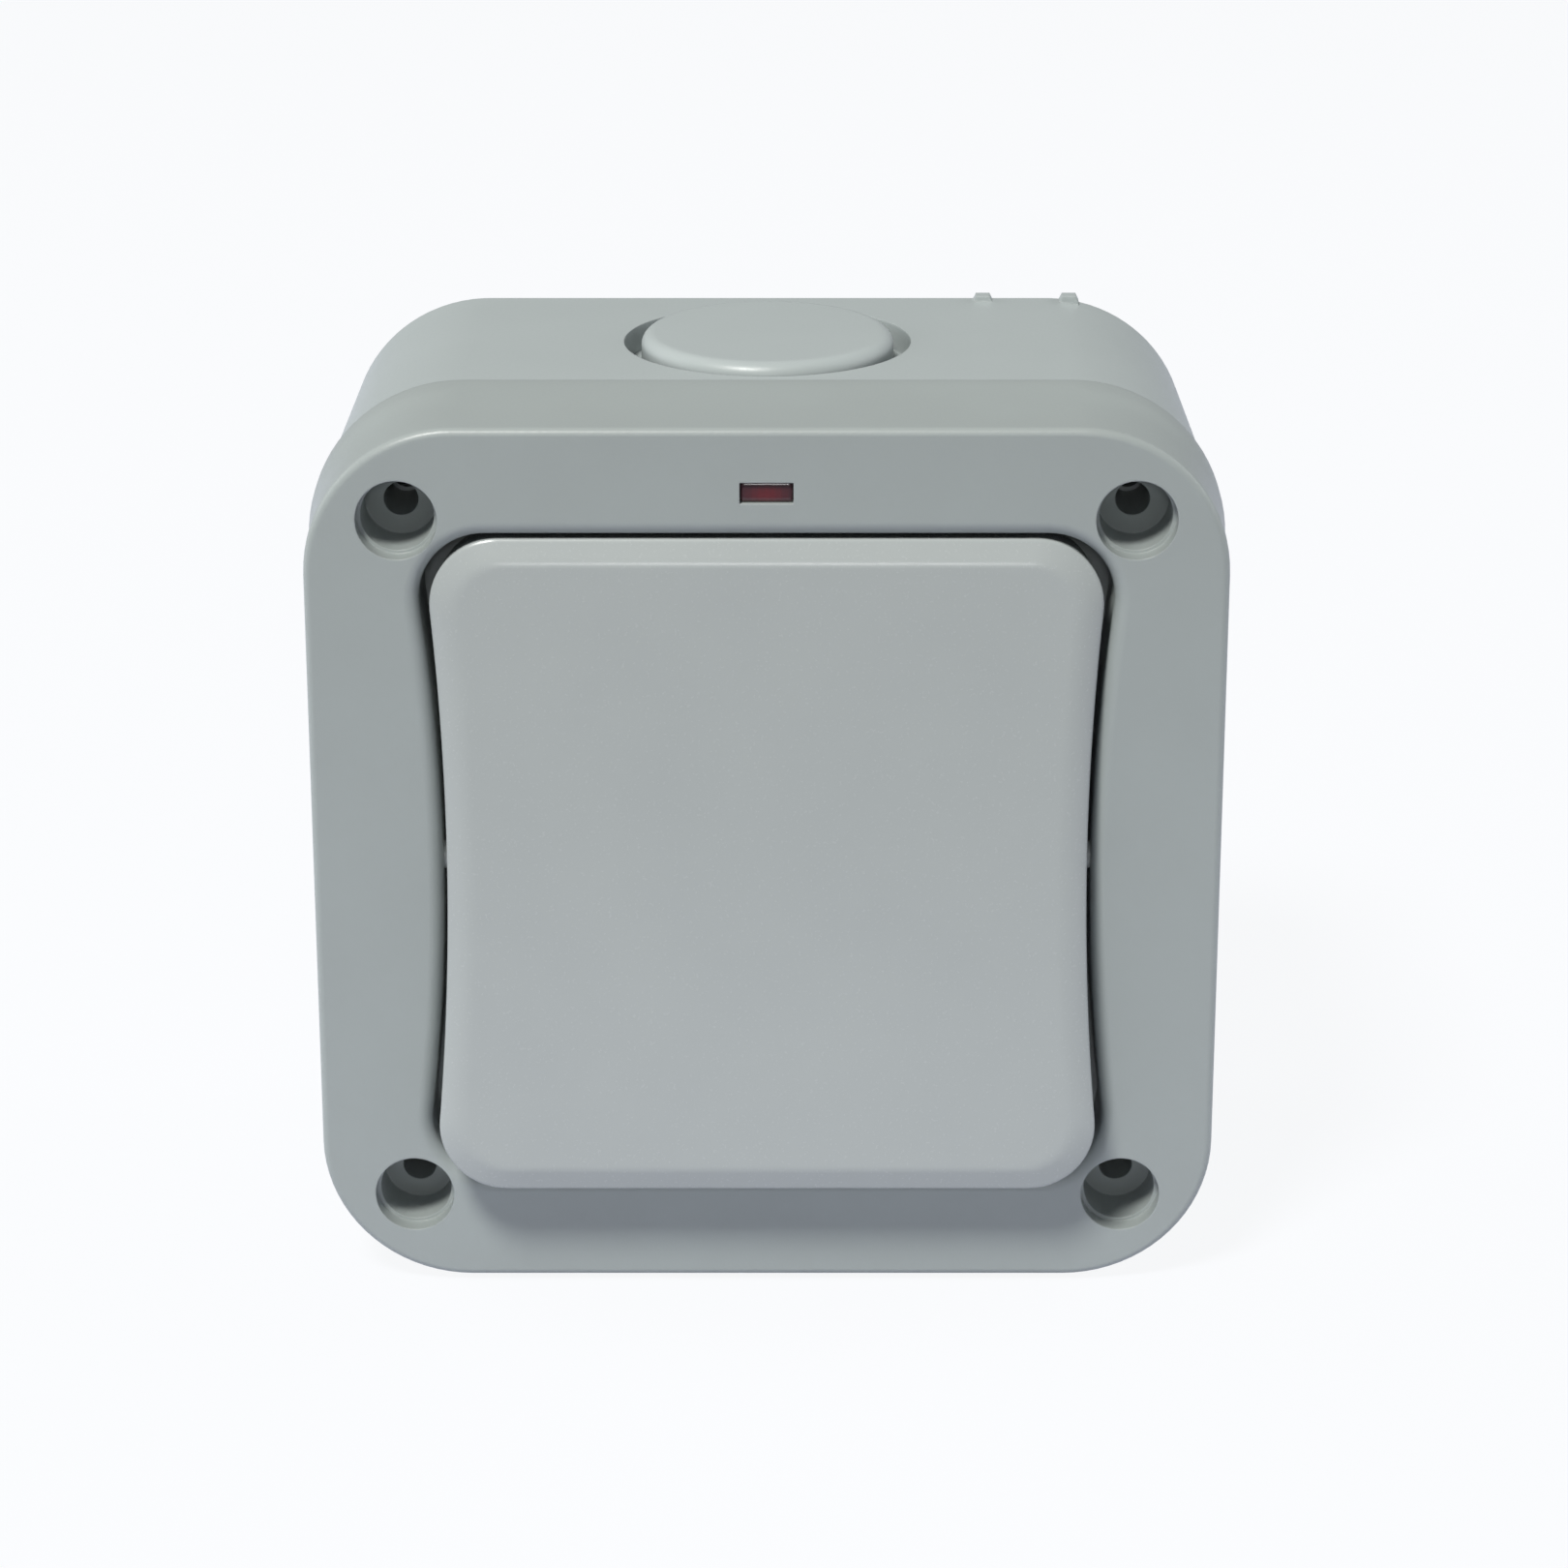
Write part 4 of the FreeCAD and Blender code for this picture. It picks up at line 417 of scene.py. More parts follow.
@dataclass(frozen=True)
class BandedCoating:
    """A dipped epoxy coating with painted rings round a small resistor's body.

    The lacquer is a speckled tan, and each ring has its place along the body.
    """

    name: str
    lacquer: str
    speck_colour: str
    rings: tuple[tuple[float, str], ...]
    start: float
    ring_half: float = 0.28
    speck: float = 0.6
    speck_depth: float = 0.02
    speck_strength: float = 0.6
    shiniest: float = 0.22
    dullest: float = 0.36

    def build(self) -> bpy.types.Material:
        """Builds the material.

        Returns:
            The material.
        """
        material, tree, place = new_material(self.name)
        deep = add_node(tree, "ShaderNodeSeparateXYZ", inputs={0: place}).outputs["Y"]
        speck = noise(tree, place, self.speck * MM)
        colour = two_tones(tree, speck, self.lacquer, self.speck_colour)
        for along_body, hue in self.rings:
            off = sum_of(tree, "SUBTRACT", deep, (self.start + along_body) * MM)
            ring = sum_of(tree, "COMPARE", off, 0.0, self.ring_half * MM)
            colour = two_tones(tree, ring, colour, hue)
        skin = {
            "Base Color": colour,
            "Roughness": sheen(tree, speck, self.shiniest, self.dullest),
            "Normal": relief(tree, speck, self.speck_depth, self.speck_strength),
        }
        return dress(material, skin)


def finish_table() -> Finishes:
    """Builds one material for each of the record's material slots.

    Returns:
        Slot to material.
    """
    finishes = {
        # Pale grey polycarbonate from a fine spark-eroded tool: a soft, even sheen.
        Slot.HOUSING: MouldedPlastic("spark_eroded_pc_cover_grey", "9DA4A3", "989E9D"),
        # The same resin from a finer tool, so the face looks smoother and a little shinier.
        Slot.ROCKER: MouldedPlastic(
            "spark_eroded_pc_rocker_grey",
            "A8ADAC",
            "A3A8A8",
            grain=0.3,
            depth=0.003,
            roughness=0.24,
        ),
        # Black rubber that swallows light in the joint line.
        Slot.SEAL: MouldedPlastic(
            "moulded_epdm_rubber", "2B2C2D", "333434", grain=0.5, depth=0.02, roughness=0.75
        ),
        # Deep red with a painted glow: a brighter heart that stands for light gathered in the
        # window.
        Slot.LENS: TintedLens(
            "dyed_clear_red_pc",
            "42242A",
            "5E2228",
            middle=(0.0, -54.9, 40.5),
            reach=(2.8, 2.0, 1.4),
        ),
        # Clear and nearly colourless, with small bright glints.
        Slot.LAMP_GLASS: DrawnGlass("drawn_soda_glass", "F4EFEA"),
        # Dark thermoset with a dull gloss and a faint grain of filler.
        Slot.MECHANISM: MouldedPlastic(
            "compression_moulded_urea", "3B3D3E", "333536", grain=0.6, depth=0.01, roughness=0.35
        ),
        # Milky, slightly waxy bearing plastic.
        Slot.DOLLY: MouldedPlastic(
            "natural_acetal", "DAD8CC", "D2CFC2", grain=0.5, depth=0.006, roughness=0.35
        ),
        # Off-white and dull, like rubber.
        Slot.LEAD_SLEEVE: MouldedPlastic(
            "silicone_sleeve",
            "C6C5BE",
            "BEBDB6",
            grain=0.5,
            depth=0.01,
            roughness=0.6,
            ior=1.41,
        ),
        # Tan lacquer with orange, white, black and gold rings.
        Slot.RESISTOR: BandedCoating(
            "dipped_epoxy_rings",
            "B79A6A",
            "AF9161",
            rings=((1.3, "C8781E"), (2.4, "E8E6DC"), (3.5, "2A2A2A"), (5.2, "B8902C")),
            start=-31.6,
        ),
        # Bright drawn wire, streaked along its length.
        Slot.SPRING_STEEL: WorkedMetal("drawn_spring_steel", "B9BABC", "A5A6A8", roughness=0.25),
        # Zinc plate: bluish white with a soft bloom.
        Slot.PLATED_STEEL: WorkedMetal("zinc_plated_steel", "C9CACB", "B4B7BA", roughness=0.28),
        # Sawn from bar, so fine saw lines cross the block.
        Slot.BRASS: WorkedMetal("sawn_brass", "D2B060", "B4924A", streak=(2.0, 0.2, 2.0)),
        # Pressed from strip: warm, with the roll's streaks left in it.
        Slot.COPPER: WorkedMetal("pressed_copper_strip", "CE8A62", "B06E4A", roughness=0.32),
        # Pale and satin, as a contact face is before it has switched a load.
        Slot.SILVER: WorkedMetal("silver_contact_alloy", "D8D8D4", "BDBDB8", roughness=0.35),
    }
    return {slot: finish.build() for slot, finish in finishes.items()}


def add_object(name: str, data: bpy.types.ID) -> bpy.types.Object:
    """Puts a mesh, a light or a camera into the scene, unmoved.

    Args:
        name: The object's name.
        data: What it shows.

    Returns:
        The object.
    """
    made = bpy.data.objects.new(name, data)
    bpy.context.scene.collection.objects.link(made)
    return made


def keep(piece: bpy.types.Object, body: Body, slot: Slot, *nodes: str) -> None:
    """Rides a piece on its body and hides the CAD nodes it stands for.

    Args:
        piece: The finished piece.
        body: The body that it moves with.
        slot: The record's material slot; not used.
        nodes: CAD nodes that it replaces.
    """
    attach(piece, body.value)
    if nodes:
        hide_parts(*nodes)
    LOG.info("%s: %d faces", piece.name, len(piece.data.polygons))


def link_mesh(
    name: str, shape: bmesh.types.BMesh, material: bpy.types.Material, sharp: float = 32.0
) -> bpy.types.Object:
    """Turns a shape in millimetres into a piece in metres, smooth but for real edges.

    Args:
        name: The piece's name.
        shape: The shape, in millimetres, which is freed.
        material: The piece's finish.
        sharp: Edges that turn by more than this many degrees stay sharp.

    Returns:
        The new piece.
    """
    bmesh.ops.remove_doubles(shape, verts=shape.verts, dist=WELD)
    bmesh.ops.recalc_face_normals(shape, faces=shape.faces)
    bmesh.ops.scale(shape, vec=(MM, MM, MM), verts=shape.verts)
    for face in shape.faces:
        face.smooth = True
    for edge in shape.edges:
        if len(edge.link_faces) == 2 and edge.calc_face_angle(0) > math.radians(sharp):
            edge.smooth = False
    mesh = bpy.data.meshes.new(name)
    shape.to_mesh(mesh)
    shape.free()
    mesh.materials.append(material)
    piece = add_object(name, mesh)
    piece.modifiers.new("flat_faces_first", "WEIGHTED_NORMAL").keep_sharp = True
    return piece


def bridge_rings(shape: bmesh.types.BMesh, rings: Sequence[Sequence[Vector]]) -> None:
    """Joins closed rings of equal count by quads, and closes the two ends.

    Args:
        shape: The shape that gets the faces.
        rings: Rings of points, in order.
    """
    rows = [[shape.verts.new(point) for point in ring] for ring in rings]
    count = len(rows[0])
    for low, high in zip(rows, rows[1:]):
        for i in range(count):
            j = (i + 1) % count
            shape.faces.new((low[i], low[j], high[j], high[i]))
    shape.faces.new(list(reversed(rows[0])))
    shape.faces.new(rows[-1])


def turn_profile(
    shape: bmesh.types.BMesh,
    profile: Sequence[tuple[float, float]],
    facets: int,
    at: Callable[[float, float, float], Vector],
) -> None:
    """Adds a solid that is turned about an axis.

    Args:
        shape: The shape that gets the solid.
        profile: Radius and place along the axis, from one end to the other.
        facets: Flats round the solid.
        at: Makes a point of a place along the axis and the two distances from it.
    """
    angles = [math.tau * i / facets for i in range(facets)]
    rings = [
        [at(place, radius * math.cos(angle), radius * math.sin(angle)) for angle in angles]
        for radius, place in profile
    ]
    bridge_rings(shape, rings)


def mirrored(profile: Profile, length: float) -> Profile:
    """Follows a profile of one end by the same one backwards, at the other end."""
    return profile + tuple((radius, length - place) for radius, place in reversed(profile))


@dataclass
class Assembly:
    """A group of pieces that are built together.

    Attributes:
        finishes: The finish of each slot.
    """

    finishes: Finishes

    def build(self) -> None:
        """Builds the pieces."""
        raise NotImplementedError


@dataclass
class Rocker(Assembly):
    """The large waisted paddle, with its rounded edge, skirt, pins and drive post."""

    half_height: float = 35.45
    waist: float = 33.4
    side_radius: float = 300.0
    corner: float = 7.0
    face_corner: float = 4.6
    outline_steps: int = 14
    edge_side: float = 3.2
    edge_end: float = 3.0
    edge_drop: float = 1.04
    edge_slope: float = 36.0
    edge_steps: int = 12
    crease_fall: float = 0.13
    crease_in: float = 0.277
    slope_share: float = 0.83
    rim_round: float = 0.3
    rim_turns: tuple[float, ...] = (0.0, 25.0, 54.0)
    rim_lift: float = 0.35
    skirt: float = 7.8
    skirt_lean: float = 0.5
    skirt_middle: float = 0.5
    foot_start: float = 0.97
    foot_break: float = 0.25
    wall: float = 2.2
    roof_round: float = 0.8
    proud: float = 3.34
    pivot_deep: float = 3.5
    tilt: float = 4.5
    overlap: float = 0.1
    rib_reach: float = 0.6
    rib_short: float = 0.6
    pin_radius: float = 1.5
    pin_end: float = 36.1
    pin_root: float = 2.0
    pin_break: float = 0.2
    boss_root: float = 2.6
    boss_short: float = 0.4
    pin_facets: int = 32
    arm: float = 12.5
    post_half_width: float = 3.5
    post_neck: float = 1.3
    post_root: float = 2.6
    post_break: float = 0.25
    post_end: float = 0.97
    post_middle: float = 4.0
    tip_radius: float = 2.0
    tip_start: float = 1.0
    tip_turn: float = 130.0
    tip_steps: int = 12

    def __post_init__(self) -> None:
        """Works out the depths of the face, the skirt's start and the inner roof."""
        self.face_y = -self.proud - self.pivot_deep
        self.edge_y = self.face_y + self.edge_drop
        self.roof_y = self.edge_y + self.wall

    def outline(self, in_side: float, in_end: float, corner: float) -> list[tuple[float, float]]:
        """Gives the paddle's outline, drawn in from its edge.

        Args:
            in_side: How far in from the hollow sides.
            in_end: How far in from the straight ends.
            corner: Corner radius.

        Returns:
            Points across and up, anticlockwise.
        """
        steps = self.outline_steps
        high = self.half_height - in_end
        hollow = self.side_radius + in_side
        side_x = self.waist - in_side + hollow
        corner_z = high - corner
        corner_x = side_x - math.sqrt((hollow + corner) ** 2 - corner_z**2)
        lean = math.atan2(corner_z, side_x - corner_x)
        quarter = []
        for i in range(steps):
            angle = lean * i / steps
            quarter.append((side_x - hollow * math.cos(angle), hollow * math.sin(angle)))
        for i in range(steps):
            angle = -lean + (math.pi / 2 + lean) * i / steps
            across, up = corner * math.cos(angle), corner * math.sin(angle)
            quarter.append((corner_x + across, corner_z + up))
        for i in range(steps + 1):
            quarter.append((corner_x * (1 - i / steps), high))
        upper = quarter + [(-x, z) for x, z in reversed(quarter[:-1])]
        return upper + [(x, -z) for x, z in reversed(upper[1:-1])]

    def at(self, point: Vector) -> Vector:
        """Turns a point of the level paddle into the frame, with its top pressed in."""
        turned = Matrix.Rotation(math.radians(-self.tilt), 3, "X") @ point
        return turned + Vector((0, self.pivot_deep - TOTAL_DEPTH, 0))

    def ring(self, local_y: float, points: Sequence[tuple[float, float]]) -> list[Vector]:
        """Places an outline at one depth."""
        return [self.at(Vector((x, local_y, z))) for x, z in points]

    def inset_ring(self, local_y: float, inset: float, shrink: float = 0.0) -> list[Vector]:
        """Places the outline, drawn in evenly, at one depth."""
        return self.ring(local_y, self.outline(inset, inset, self.corner - inset + shrink))

    def rounded_edge(self) -> list[list[Vector]]:
        """Gives the rings of the face's edge: an arc at the sides, a crease at the ends.

        Returns:
            The rings, from the face outwards.
        """
        steep = math.radians(self.edge_slope)
        rings = []
        for i in range(self.edge_steps):
            slope = steep * i / self.edge_steps
            fall = (1 - math.cos(slope)) / (1 - math.cos(steep))
            part = 1 - math.sin(slope) / math.sin(steep)
            if fall > self.crease_fall:
                share = (1 - fall) * self.slope_share
            else:
                share = 1 - self.crease_in * math.sqrt(fall / self.crease_fall)
            corner = self.corner - (self.corner - self.face_corner) * part
            points = self.outline(self.edge_side * part, self.edge_end * share, corner)
            rings.append(self.ring(self.face_y + self.edge_drop * fall, points))
        # The outer corner of the moulding is broken by a small radius.
        start = self.edge_y - self.rim_round * math.sin(steep) * self.rim_lift
        for turn in self.rim_turns:
            angle = math.radians(self.edge_slope + turn)
            fall = self.rim_round * (math.cos(steep) - math.cos(angle))
            rings.append(self.inset_ring(start + fall, self.rim_round * (1 - math.sin(angle))))
        return rings

    def shell(self, shape: bmesh.types.BMesh) -> None:
        """Adds the face, its rounded edge, the skirt and the hollow behind.

        Args:
            shape: The shape that gets them.
        """
        rings = self.rounded_edge()
        for part, broken in (
            (self.skirt_middle, 0.0),
            (self.foot_start, 0.0),
            (1.0, self.foot_break),
        ):
            lean = self.skirt_lean * part + broken
            rings.append(self.inset_ring(self.edge_y + self.skirt * part, lean))
        inset, soft = self.skirt_lean + self.wall, self.roof_round
        rings.append(self.inset_ring(self.edge_y + self.skirt, inset))
        rings.append(self.inset_ring(self.roof_y + soft, inset))
        rings.append(self.inset_ring(self.roof_y, inset + soft, soft / 2))
        bridge_rings(shape, rings)

    def works(self, shape: bmesh.types.BMesh) -> None:
        """Adds the ribs, the two pins with their bosses and the drive post.

        Args:
            shape: The shape that gets them.
        """
        root_y = self.roof_y - self.overlap
        reach, half = self.waist - self.wall * self.rib_reach, self.wall / 4
        corners = [(-reach, -half), (reach, -half), (reach, half), (-reach, half)]
        for height in (-self.half_height / 2, self.half_height / 2):
            raised = [(x, z + height) for x, z in corners]
            end_y = root_y + self.skirt - self.wall - self.rib_short
            bridge_rings(shape, [self.ring(root_y, raised), self.ring(end_y, raised)])
        spans = (
            (2 * self.pin_radius, self.waist - self.boss_root, self.waist - self.boss_short),
            (self.pin_radius, self.waist - self.pin_root, self.pin_end - self.pin_break),
        )
        for radius, start, end in spans:
            tip = (radius - self.pin_break, end + self.pin_break)
            pin = ((radius, start), (radius, end), tip)
            turn_profile(shape, pin, self.pin_facets, lambda x, y, z: self.at(Vector((-x, y, z))))
            turn_profile(shape, pin, self.pin_facets, lambda x, y, z: self.at(Vector((x, y, z))))
        self.post(shape, root_y - self.overlap)

    def post(self, shape: bmesh.types.BMesh, root_y: float) -> None:
        """Adds the drive post with its round tip.

        Args:
            shape: The shape that gets it.
            root_y: Depth of the post's root.
        """
        neck_y = self.arm - self.tip_start
        profile = [(root_y, -self.post_root), (neck_y, -self.post_neck)]
        for i in range(self.tip_steps + 1):
            angle = math.radians(-self.tip_turn + 2 * self.tip_turn * i / self.tip_steps)
            y, z = self.tip_radius * math.cos(angle), self.tip_radius * math.sin(angle)
            profile.append((self.arm + y, z))
        profile += [(neck_y, self.post_neck), (root_y, self.post_root)]
        middle, wide = self.post_middle, self.post_half_width
        flat = wide - self.post_break
        sections = ((-wide, self.post_end), (-flat, 1.0), (flat, 1.0), (wide, self.post_end))
        rings = [
            [self.at(Vector((x, y * part + (1 - part) * middle, z * part))) for y, z in profile]
            for x, part in sections
        ]
        bridge_rings(shape, rings)

    def build(self) -> None:
        """Builds the paddle and puts it in place of its CAD solid."""
        shape = bmesh.new()
        self.shell(shape)
        self.works(shape)
        piece = link_mesh("waisted_paddle", shape, self.finishes[Slot.ROCKER], sharp=40.0)
        keep(piece, Body.ROCKER, Slot.ROCKER, "rocker")


def grow(
    name: str,
    tree: Tree,
    values: dict[str, object],
    points: Sequence[Vector],
    edges: Sequence[tuple[int, int]] = (),
) -> bpy.types.Object:
    """Runs a tree on a few points and keeps the result as a plain mesh.

    Args:
        name: The piece's name.
        tree: The tree, which ends in realised instances with a material.
        values: The tree's named inputs.
        points: Starting points, in metres.
        edges: Runs between the points.

    Returns:
        The finished piece.
    """
    seed = bpy.data.meshes.new(name + "_start")
    seed.from_pydata([tuple(point) for point in points], list(edges), [])
    starter = add_object(name + "_start", seed)
    modifier = starter.modifiers.new(tree.name, "NODES")
    modifier.node_group = tree
    for item in tree.interface.items_tree:
        if item.in_out == "INPUT" and item.name in values:
            modifier[item.identifier] = values[item.name]
    graph = bpy.context.evaluated_depsgraph_get()
    mesh = bpy.data.meshes.new_from_object(starter.evaluated_get(graph), depsgraph=graph)
    mesh.name = name
    bpy.data.objects.remove(starter)
    bpy.data.meshes.remove(seed)
    return add_object(name, mesh)


def smooth_shading(tree: Tree, geometry: Socket, degrees: float) -> Socket:
    """Smooths a geometry's faces inside a tree and keeps its real edges sharp.

    Args:
        tree: The tree.
        geometry: The geometry.
        degrees: Edges that turn by more than this stay sharp.

    Returns:
        The shaded geometry.
    """
    inputs = {"Geometry": geometry, "Shade Smooth": True}
    smooth = add_node(tree, "GeometryNodeSetShadeSmooth", {"domain": "FACE"}, inputs)
    angle = add_node(tree, "GeometryNodeInputMeshEdgeAngle").outputs["Unsigned Angle"]
    sharp = sum_of(tree, "GREATER_THAN", angle, math.radians(degrees))
    inputs = {"Geometry": smooth.outputs[0], "Selection": sharp, "Shade Smooth": False}
    return add_node(tree, "GeometryNodeSetShadeSmooth", {"domain": "EDGE"}, inputs).outputs[0]


class TreeBench:
    """A geometry tree under construction, with its named inputs."""

    def __init__(self, name: str, sizes: dict[str, float]) -> None:
        """Starts a tree with a geometry, a material and one number input per size.

        Args:
            name: The tree's name.
            sizes: Each number input's name and usual value.
        """
        self.tree = bpy.data.node_groups.new(name, "GeometryNodeTree")
        face = self.tree.interface
        face.new_socket("Geometry", in_out="INPUT", socket_type="NodeSocketGeometry")
        face.new_socket("Finish", in_out="INPUT", socket_type="NodeSocketMaterial")
        for size, value in sizes.items():
            socket = face.new_socket(size, in_out="INPUT", socket_type="NodeSocketFloat")
            socket.default_value = value
        face.new_socket("Geometry", in_out="OUTPUT", socket_type="NodeSocketGeometry")
        self.start = add_node(self.tree, "NodeGroupInput")

    def size(self, name: str) -> Socket:
        """Gives a named input of the tree."""
        return self.start.outputs[name]

    def add(self, kind: str, **inputs: object) -> Socket:
        """Adds a geometry node, its inputs named with _ for a space; gives its first output."""
        named = {name.replace("_", " "): given for name, given in inputs.items()}
        return add_node(self.tree, "GeometryNode" + kind, inputs=named).outputs[0]

    def math(self, operation: str, *given: object) -> Socket:
        """Adds one sum."""
        return sum_of(self.tree, operation, *given)

    def vector(self, x: object = 0.0, y: object = 0.0, z: object = 0.0) -> Socket:
        """Makes a vector of numbers or node outputs."""
        inputs = {"X": x, "Y": y, "Z": z}
        return add_node(self.tree, "ShaderNodeCombineXYZ", inputs=inputs).outputs[0]

    def lathe(self, stations: Sequence[tuple[object, object]], facets: int) -> Socket:
        """Turns a solid about Z through stations of radius and height.

        Args:
            stations: Radius and height, from one end to the other.
            facets: Flats round the solid.

        Returns:
            The solid.
        """
        order = self.add("InputIndex")
        choices = []
        for column in (0, 1):
            pick = add_node(
                self.tree, "GeometryNodeIndexSwitch", {"data_type": "FLOAT"}, {"Index": order}
            )
            while len(pick.index_switch_items) < len(stations):
                pick.index_switch_items.new()
            for number, station in enumerate(stations, 1):
                given = station[column]
                if isinstance(given, Socket):
                    self.tree.links.new(given, pick.inputs[number])
                else:
                    pick.inputs[number].default_value = given
            choices.append(pick.outputs[0])
        radius, height = choices
        line = self.add("MeshLine", Count=len(stations))
        placed = self.add("SetPosition", Geometry=line, Position=self.vector(z=height))
        curve = self.add("MeshToCurve", Mesh=placed)
        section = self.add("CurvePrimitiveCircle", Resolution=facets, Radius=1.0)
        return self.add(
            "CurveToMesh", Curve=curve, Profile_Curve=section, Scale=radius, Fill_Caps=True
        )

    def helix(self, radius: Socket, turns: Socket, height: Socket, steps: int) -> Socket:
        """Winds a curve up along Z.

        Args:
            radius: The helix's radius.
            turns: How many turns.
            height: Its height, below zero for a helix that goes down.
            steps: Points on each turn.

        Returns:
            The curve.
        """
        return self.add(
            "CurveSpiral",
            Resolution=steps,
            Rotations=turns,
            Start_Radius=radius,
            End_Radius=radius,
            Height=height,
        )

    def wire(self, curve: Socket, radius: Socket, facets: int) -> Socket:
        """Draws a round wire along a curve."""
        section = self.add("CurvePrimitiveCircle", Resolution=facets, Radius=radius)
        return self.add("CurveToMesh", Curve=curve, Profile_Curve=section, Fill_Caps=True)

    def on_points(self, geometry: Socket, degrees: Socket) -> Socket:
        """Turns a shape about X and puts it at every starting point.

        Args:
            geometry: The shape.
            degrees: How far it turns.

        Returns:
            The placed shapes.
        """
        turn = self.vector(self.math("RADIANS", degrees))
        laid = self.add("Transform", Geometry=geometry, Rotation=turn)
        spots = self.add("MeshToPoints", Mesh=self.size("Geometry"))
        return self.add("InstanceOnPoints", Points=spots, Instance=laid)

    def finish(self, geometry: Socket) -> Tree:
        """Realises instances, smooths all but sharp edges and sets the material.

        Args:
            geometry: The tree's shapes.

        Returns:
            The finished tree.
        """
        real = self.add("RealizeInstances", Geometry=geometry)
        shaded = smooth_shading(self.tree, real, degrees=35)
        painted = self.add("SetMaterial", Geometry=shaded, Material=self.size("Finish"))
        add_node(self.tree, "NodeGroupOutput", inputs={"Geometry": painted})
        return self.tree


def screw_tree() -> Tree:
    """Builds the tree that puts a slotted, threaded screw at every starting point.

    Returns:
        The tree.
    """
    sizes = {
        "Shank radius": 1.45 * MM,
        "Shank length": 7.6 * MM,
        "Head radius": 2.8 * MM,
        "Head height": 2.0 * MM,
        "Slot width": 0.8 * MM,
        "Slot depth": 0.8 * MM,
        "Thread pitch": 0.8 * MM,
        "Thread height": 0.12 * MM,
        "Head turn": -90.0,
    }
    bench = TreeBench("slotted_screws", sizes)
    head, height = bench.size("Head radius"), bench.size("Head height")
    # Shares of the head's height and radius, and of the shank's length and radius.
    dome, rim_height, rim_in, rooted, threaded, blunt = 0.3, 0.06, 0.96, 0.2, 0.9, 0.8
    # The slot's cutter in head radii, and the point's taper in thread heights.
    past_head, taper = 3.0, 2.0
    round_over = bench.math("MULTIPLY", height, dome)
    shoulder = bench.math("SUBTRACT", height, round_over)
    under = (bench.math("MULTIPLY", head, rim_in), 0.0)
    stations = [under, (head, bench.math("MULTIPLY", height, rim_height)), (head, shoulder)]
    for degrees in (22.5, 45.0, 67.5, 90.0):
        angle = math.radians(degrees)
        inset = bench.math("MULTIPLY", round_over, 1 - math.cos(angle))
        rise = bench.math("MULTIPLY", round_over, math.sin(angle))
        stations.append((bench.math("SUBTRACT", head, inset), bench.math("ADD", shoulder, rise)))
    cap = bench.lathe(stations, facets=48)
    slot_size = bench.vector(
        bench.math("MULTIPLY", head, past_head),
        bench.size("Slot width"),
        bench.math("MULTIPLY", bench.size("Slot depth"), 2.0),
    )
    cutter = bench.add("MeshCube", Size=slot_size)
    raised = bench.add("Transform", Geometry=cutter, Translation=bench.vector(z=height))
    slotted = bench.add("MeshBoolean", Mesh_1=cap, Mesh_2=raised)
    length, depth = bench.size("Shank length"), bench.size("Thread height")
    core = bench.math("SUBTRACT", bench.size("Shank radius"), depth)
    low = bench.math("MULTIPLY", length, -1.0)
    tip = bench.math("ADD", low, bench.math("MULTIPLY", depth, taper))
    into_head = bench.math("MULTIPLY", height, rooted)
    point = (bench.math("MULTIPLY", core, blunt), low)
    body = bench.lathe([point, (core, tip), (core, 0.0), (core, into_head)], facets=32)
    run = bench.math("MULTIPLY", length, threaded)
    turns = bench.math("DIVIDE", run, bench.size("Thread pitch"))
    down = bench.math("MULTIPLY", run, -1.0)
    thread = bench.wire(bench.helix(core, turns, down, steps=24), depth, facets=4)
    whole = add_node(bench.tree, "GeometryNodeJoinGeometry")
    for part in (thread, body, slotted):
        bench.tree.links.new(part, whole.inputs[0])
    return bench.finish(bench.on_points(whole.outputs[0], bench.size("Head turn")))


def coil_tree() -> Tree:
    """Builds the tree that winds a coil spring up from its first point.

    Returns:
        The tree.
    """
    sizes = {
        "Mean radius": 1.35 * MM,
        "Wire radius": 0.28 * MM,
        "Turns": 5.0,
        "Length": 4.0 * MM,
        "Tilt": 0.0,
    }
    bench = TreeBench("coil_spring", sizes)
    radius, turns, length = (bench.size(name) for name in ("Mean radius", "Turns", "Length"))
    axis = bench.helix(radius, turns, length, steps=40)
    coil = bench.wire(axis, bench.size("Wire radius"), facets=12)
    return bench.finish(bench.on_points(coil, bench.size("Tilt")))


def lead_tree() -> Tree:
    """Builds the tree that draws a round lead along runs, with every corner eased.

    Returns:
        The tree.
    """
    sizes = {"Wire radius": 0.6 * MM, "Bend radius": 2.0 * MM, "Bare end": 0.0}
    bend_points = 10
    bench = TreeBench("eased_lead", sizes)
    bare = bench.size("Bare end")
    runs = bench.add("MeshToCurve", Mesh=bench.size("Geometry"))
    bend = {
        "Curve": runs,
        "Radius": bench.size("Bend radius"),
        "Limit Radius": True,
        "Count": bend_points,
    }
    eased = add_node(bench.tree, "GeometryNodeFilletCurve", {"mode": "POLY"}, bend).outputs["Curve"]
    total = bench.add("CurveLength", Curve=eased)
    cut = {"Curve": eased, 4: bare, 5: bench.math("SUBTRACT", total, bare)}
    trimmed = add_node(bench.tree, "GeometryNodeTrimCurve", {"mode": "LENGTH"}, cut)
    lead = bench.wire(trimmed.outputs["Curve"], bench.size("Wire radius"), facets=20)
    return bench.finish(lead)


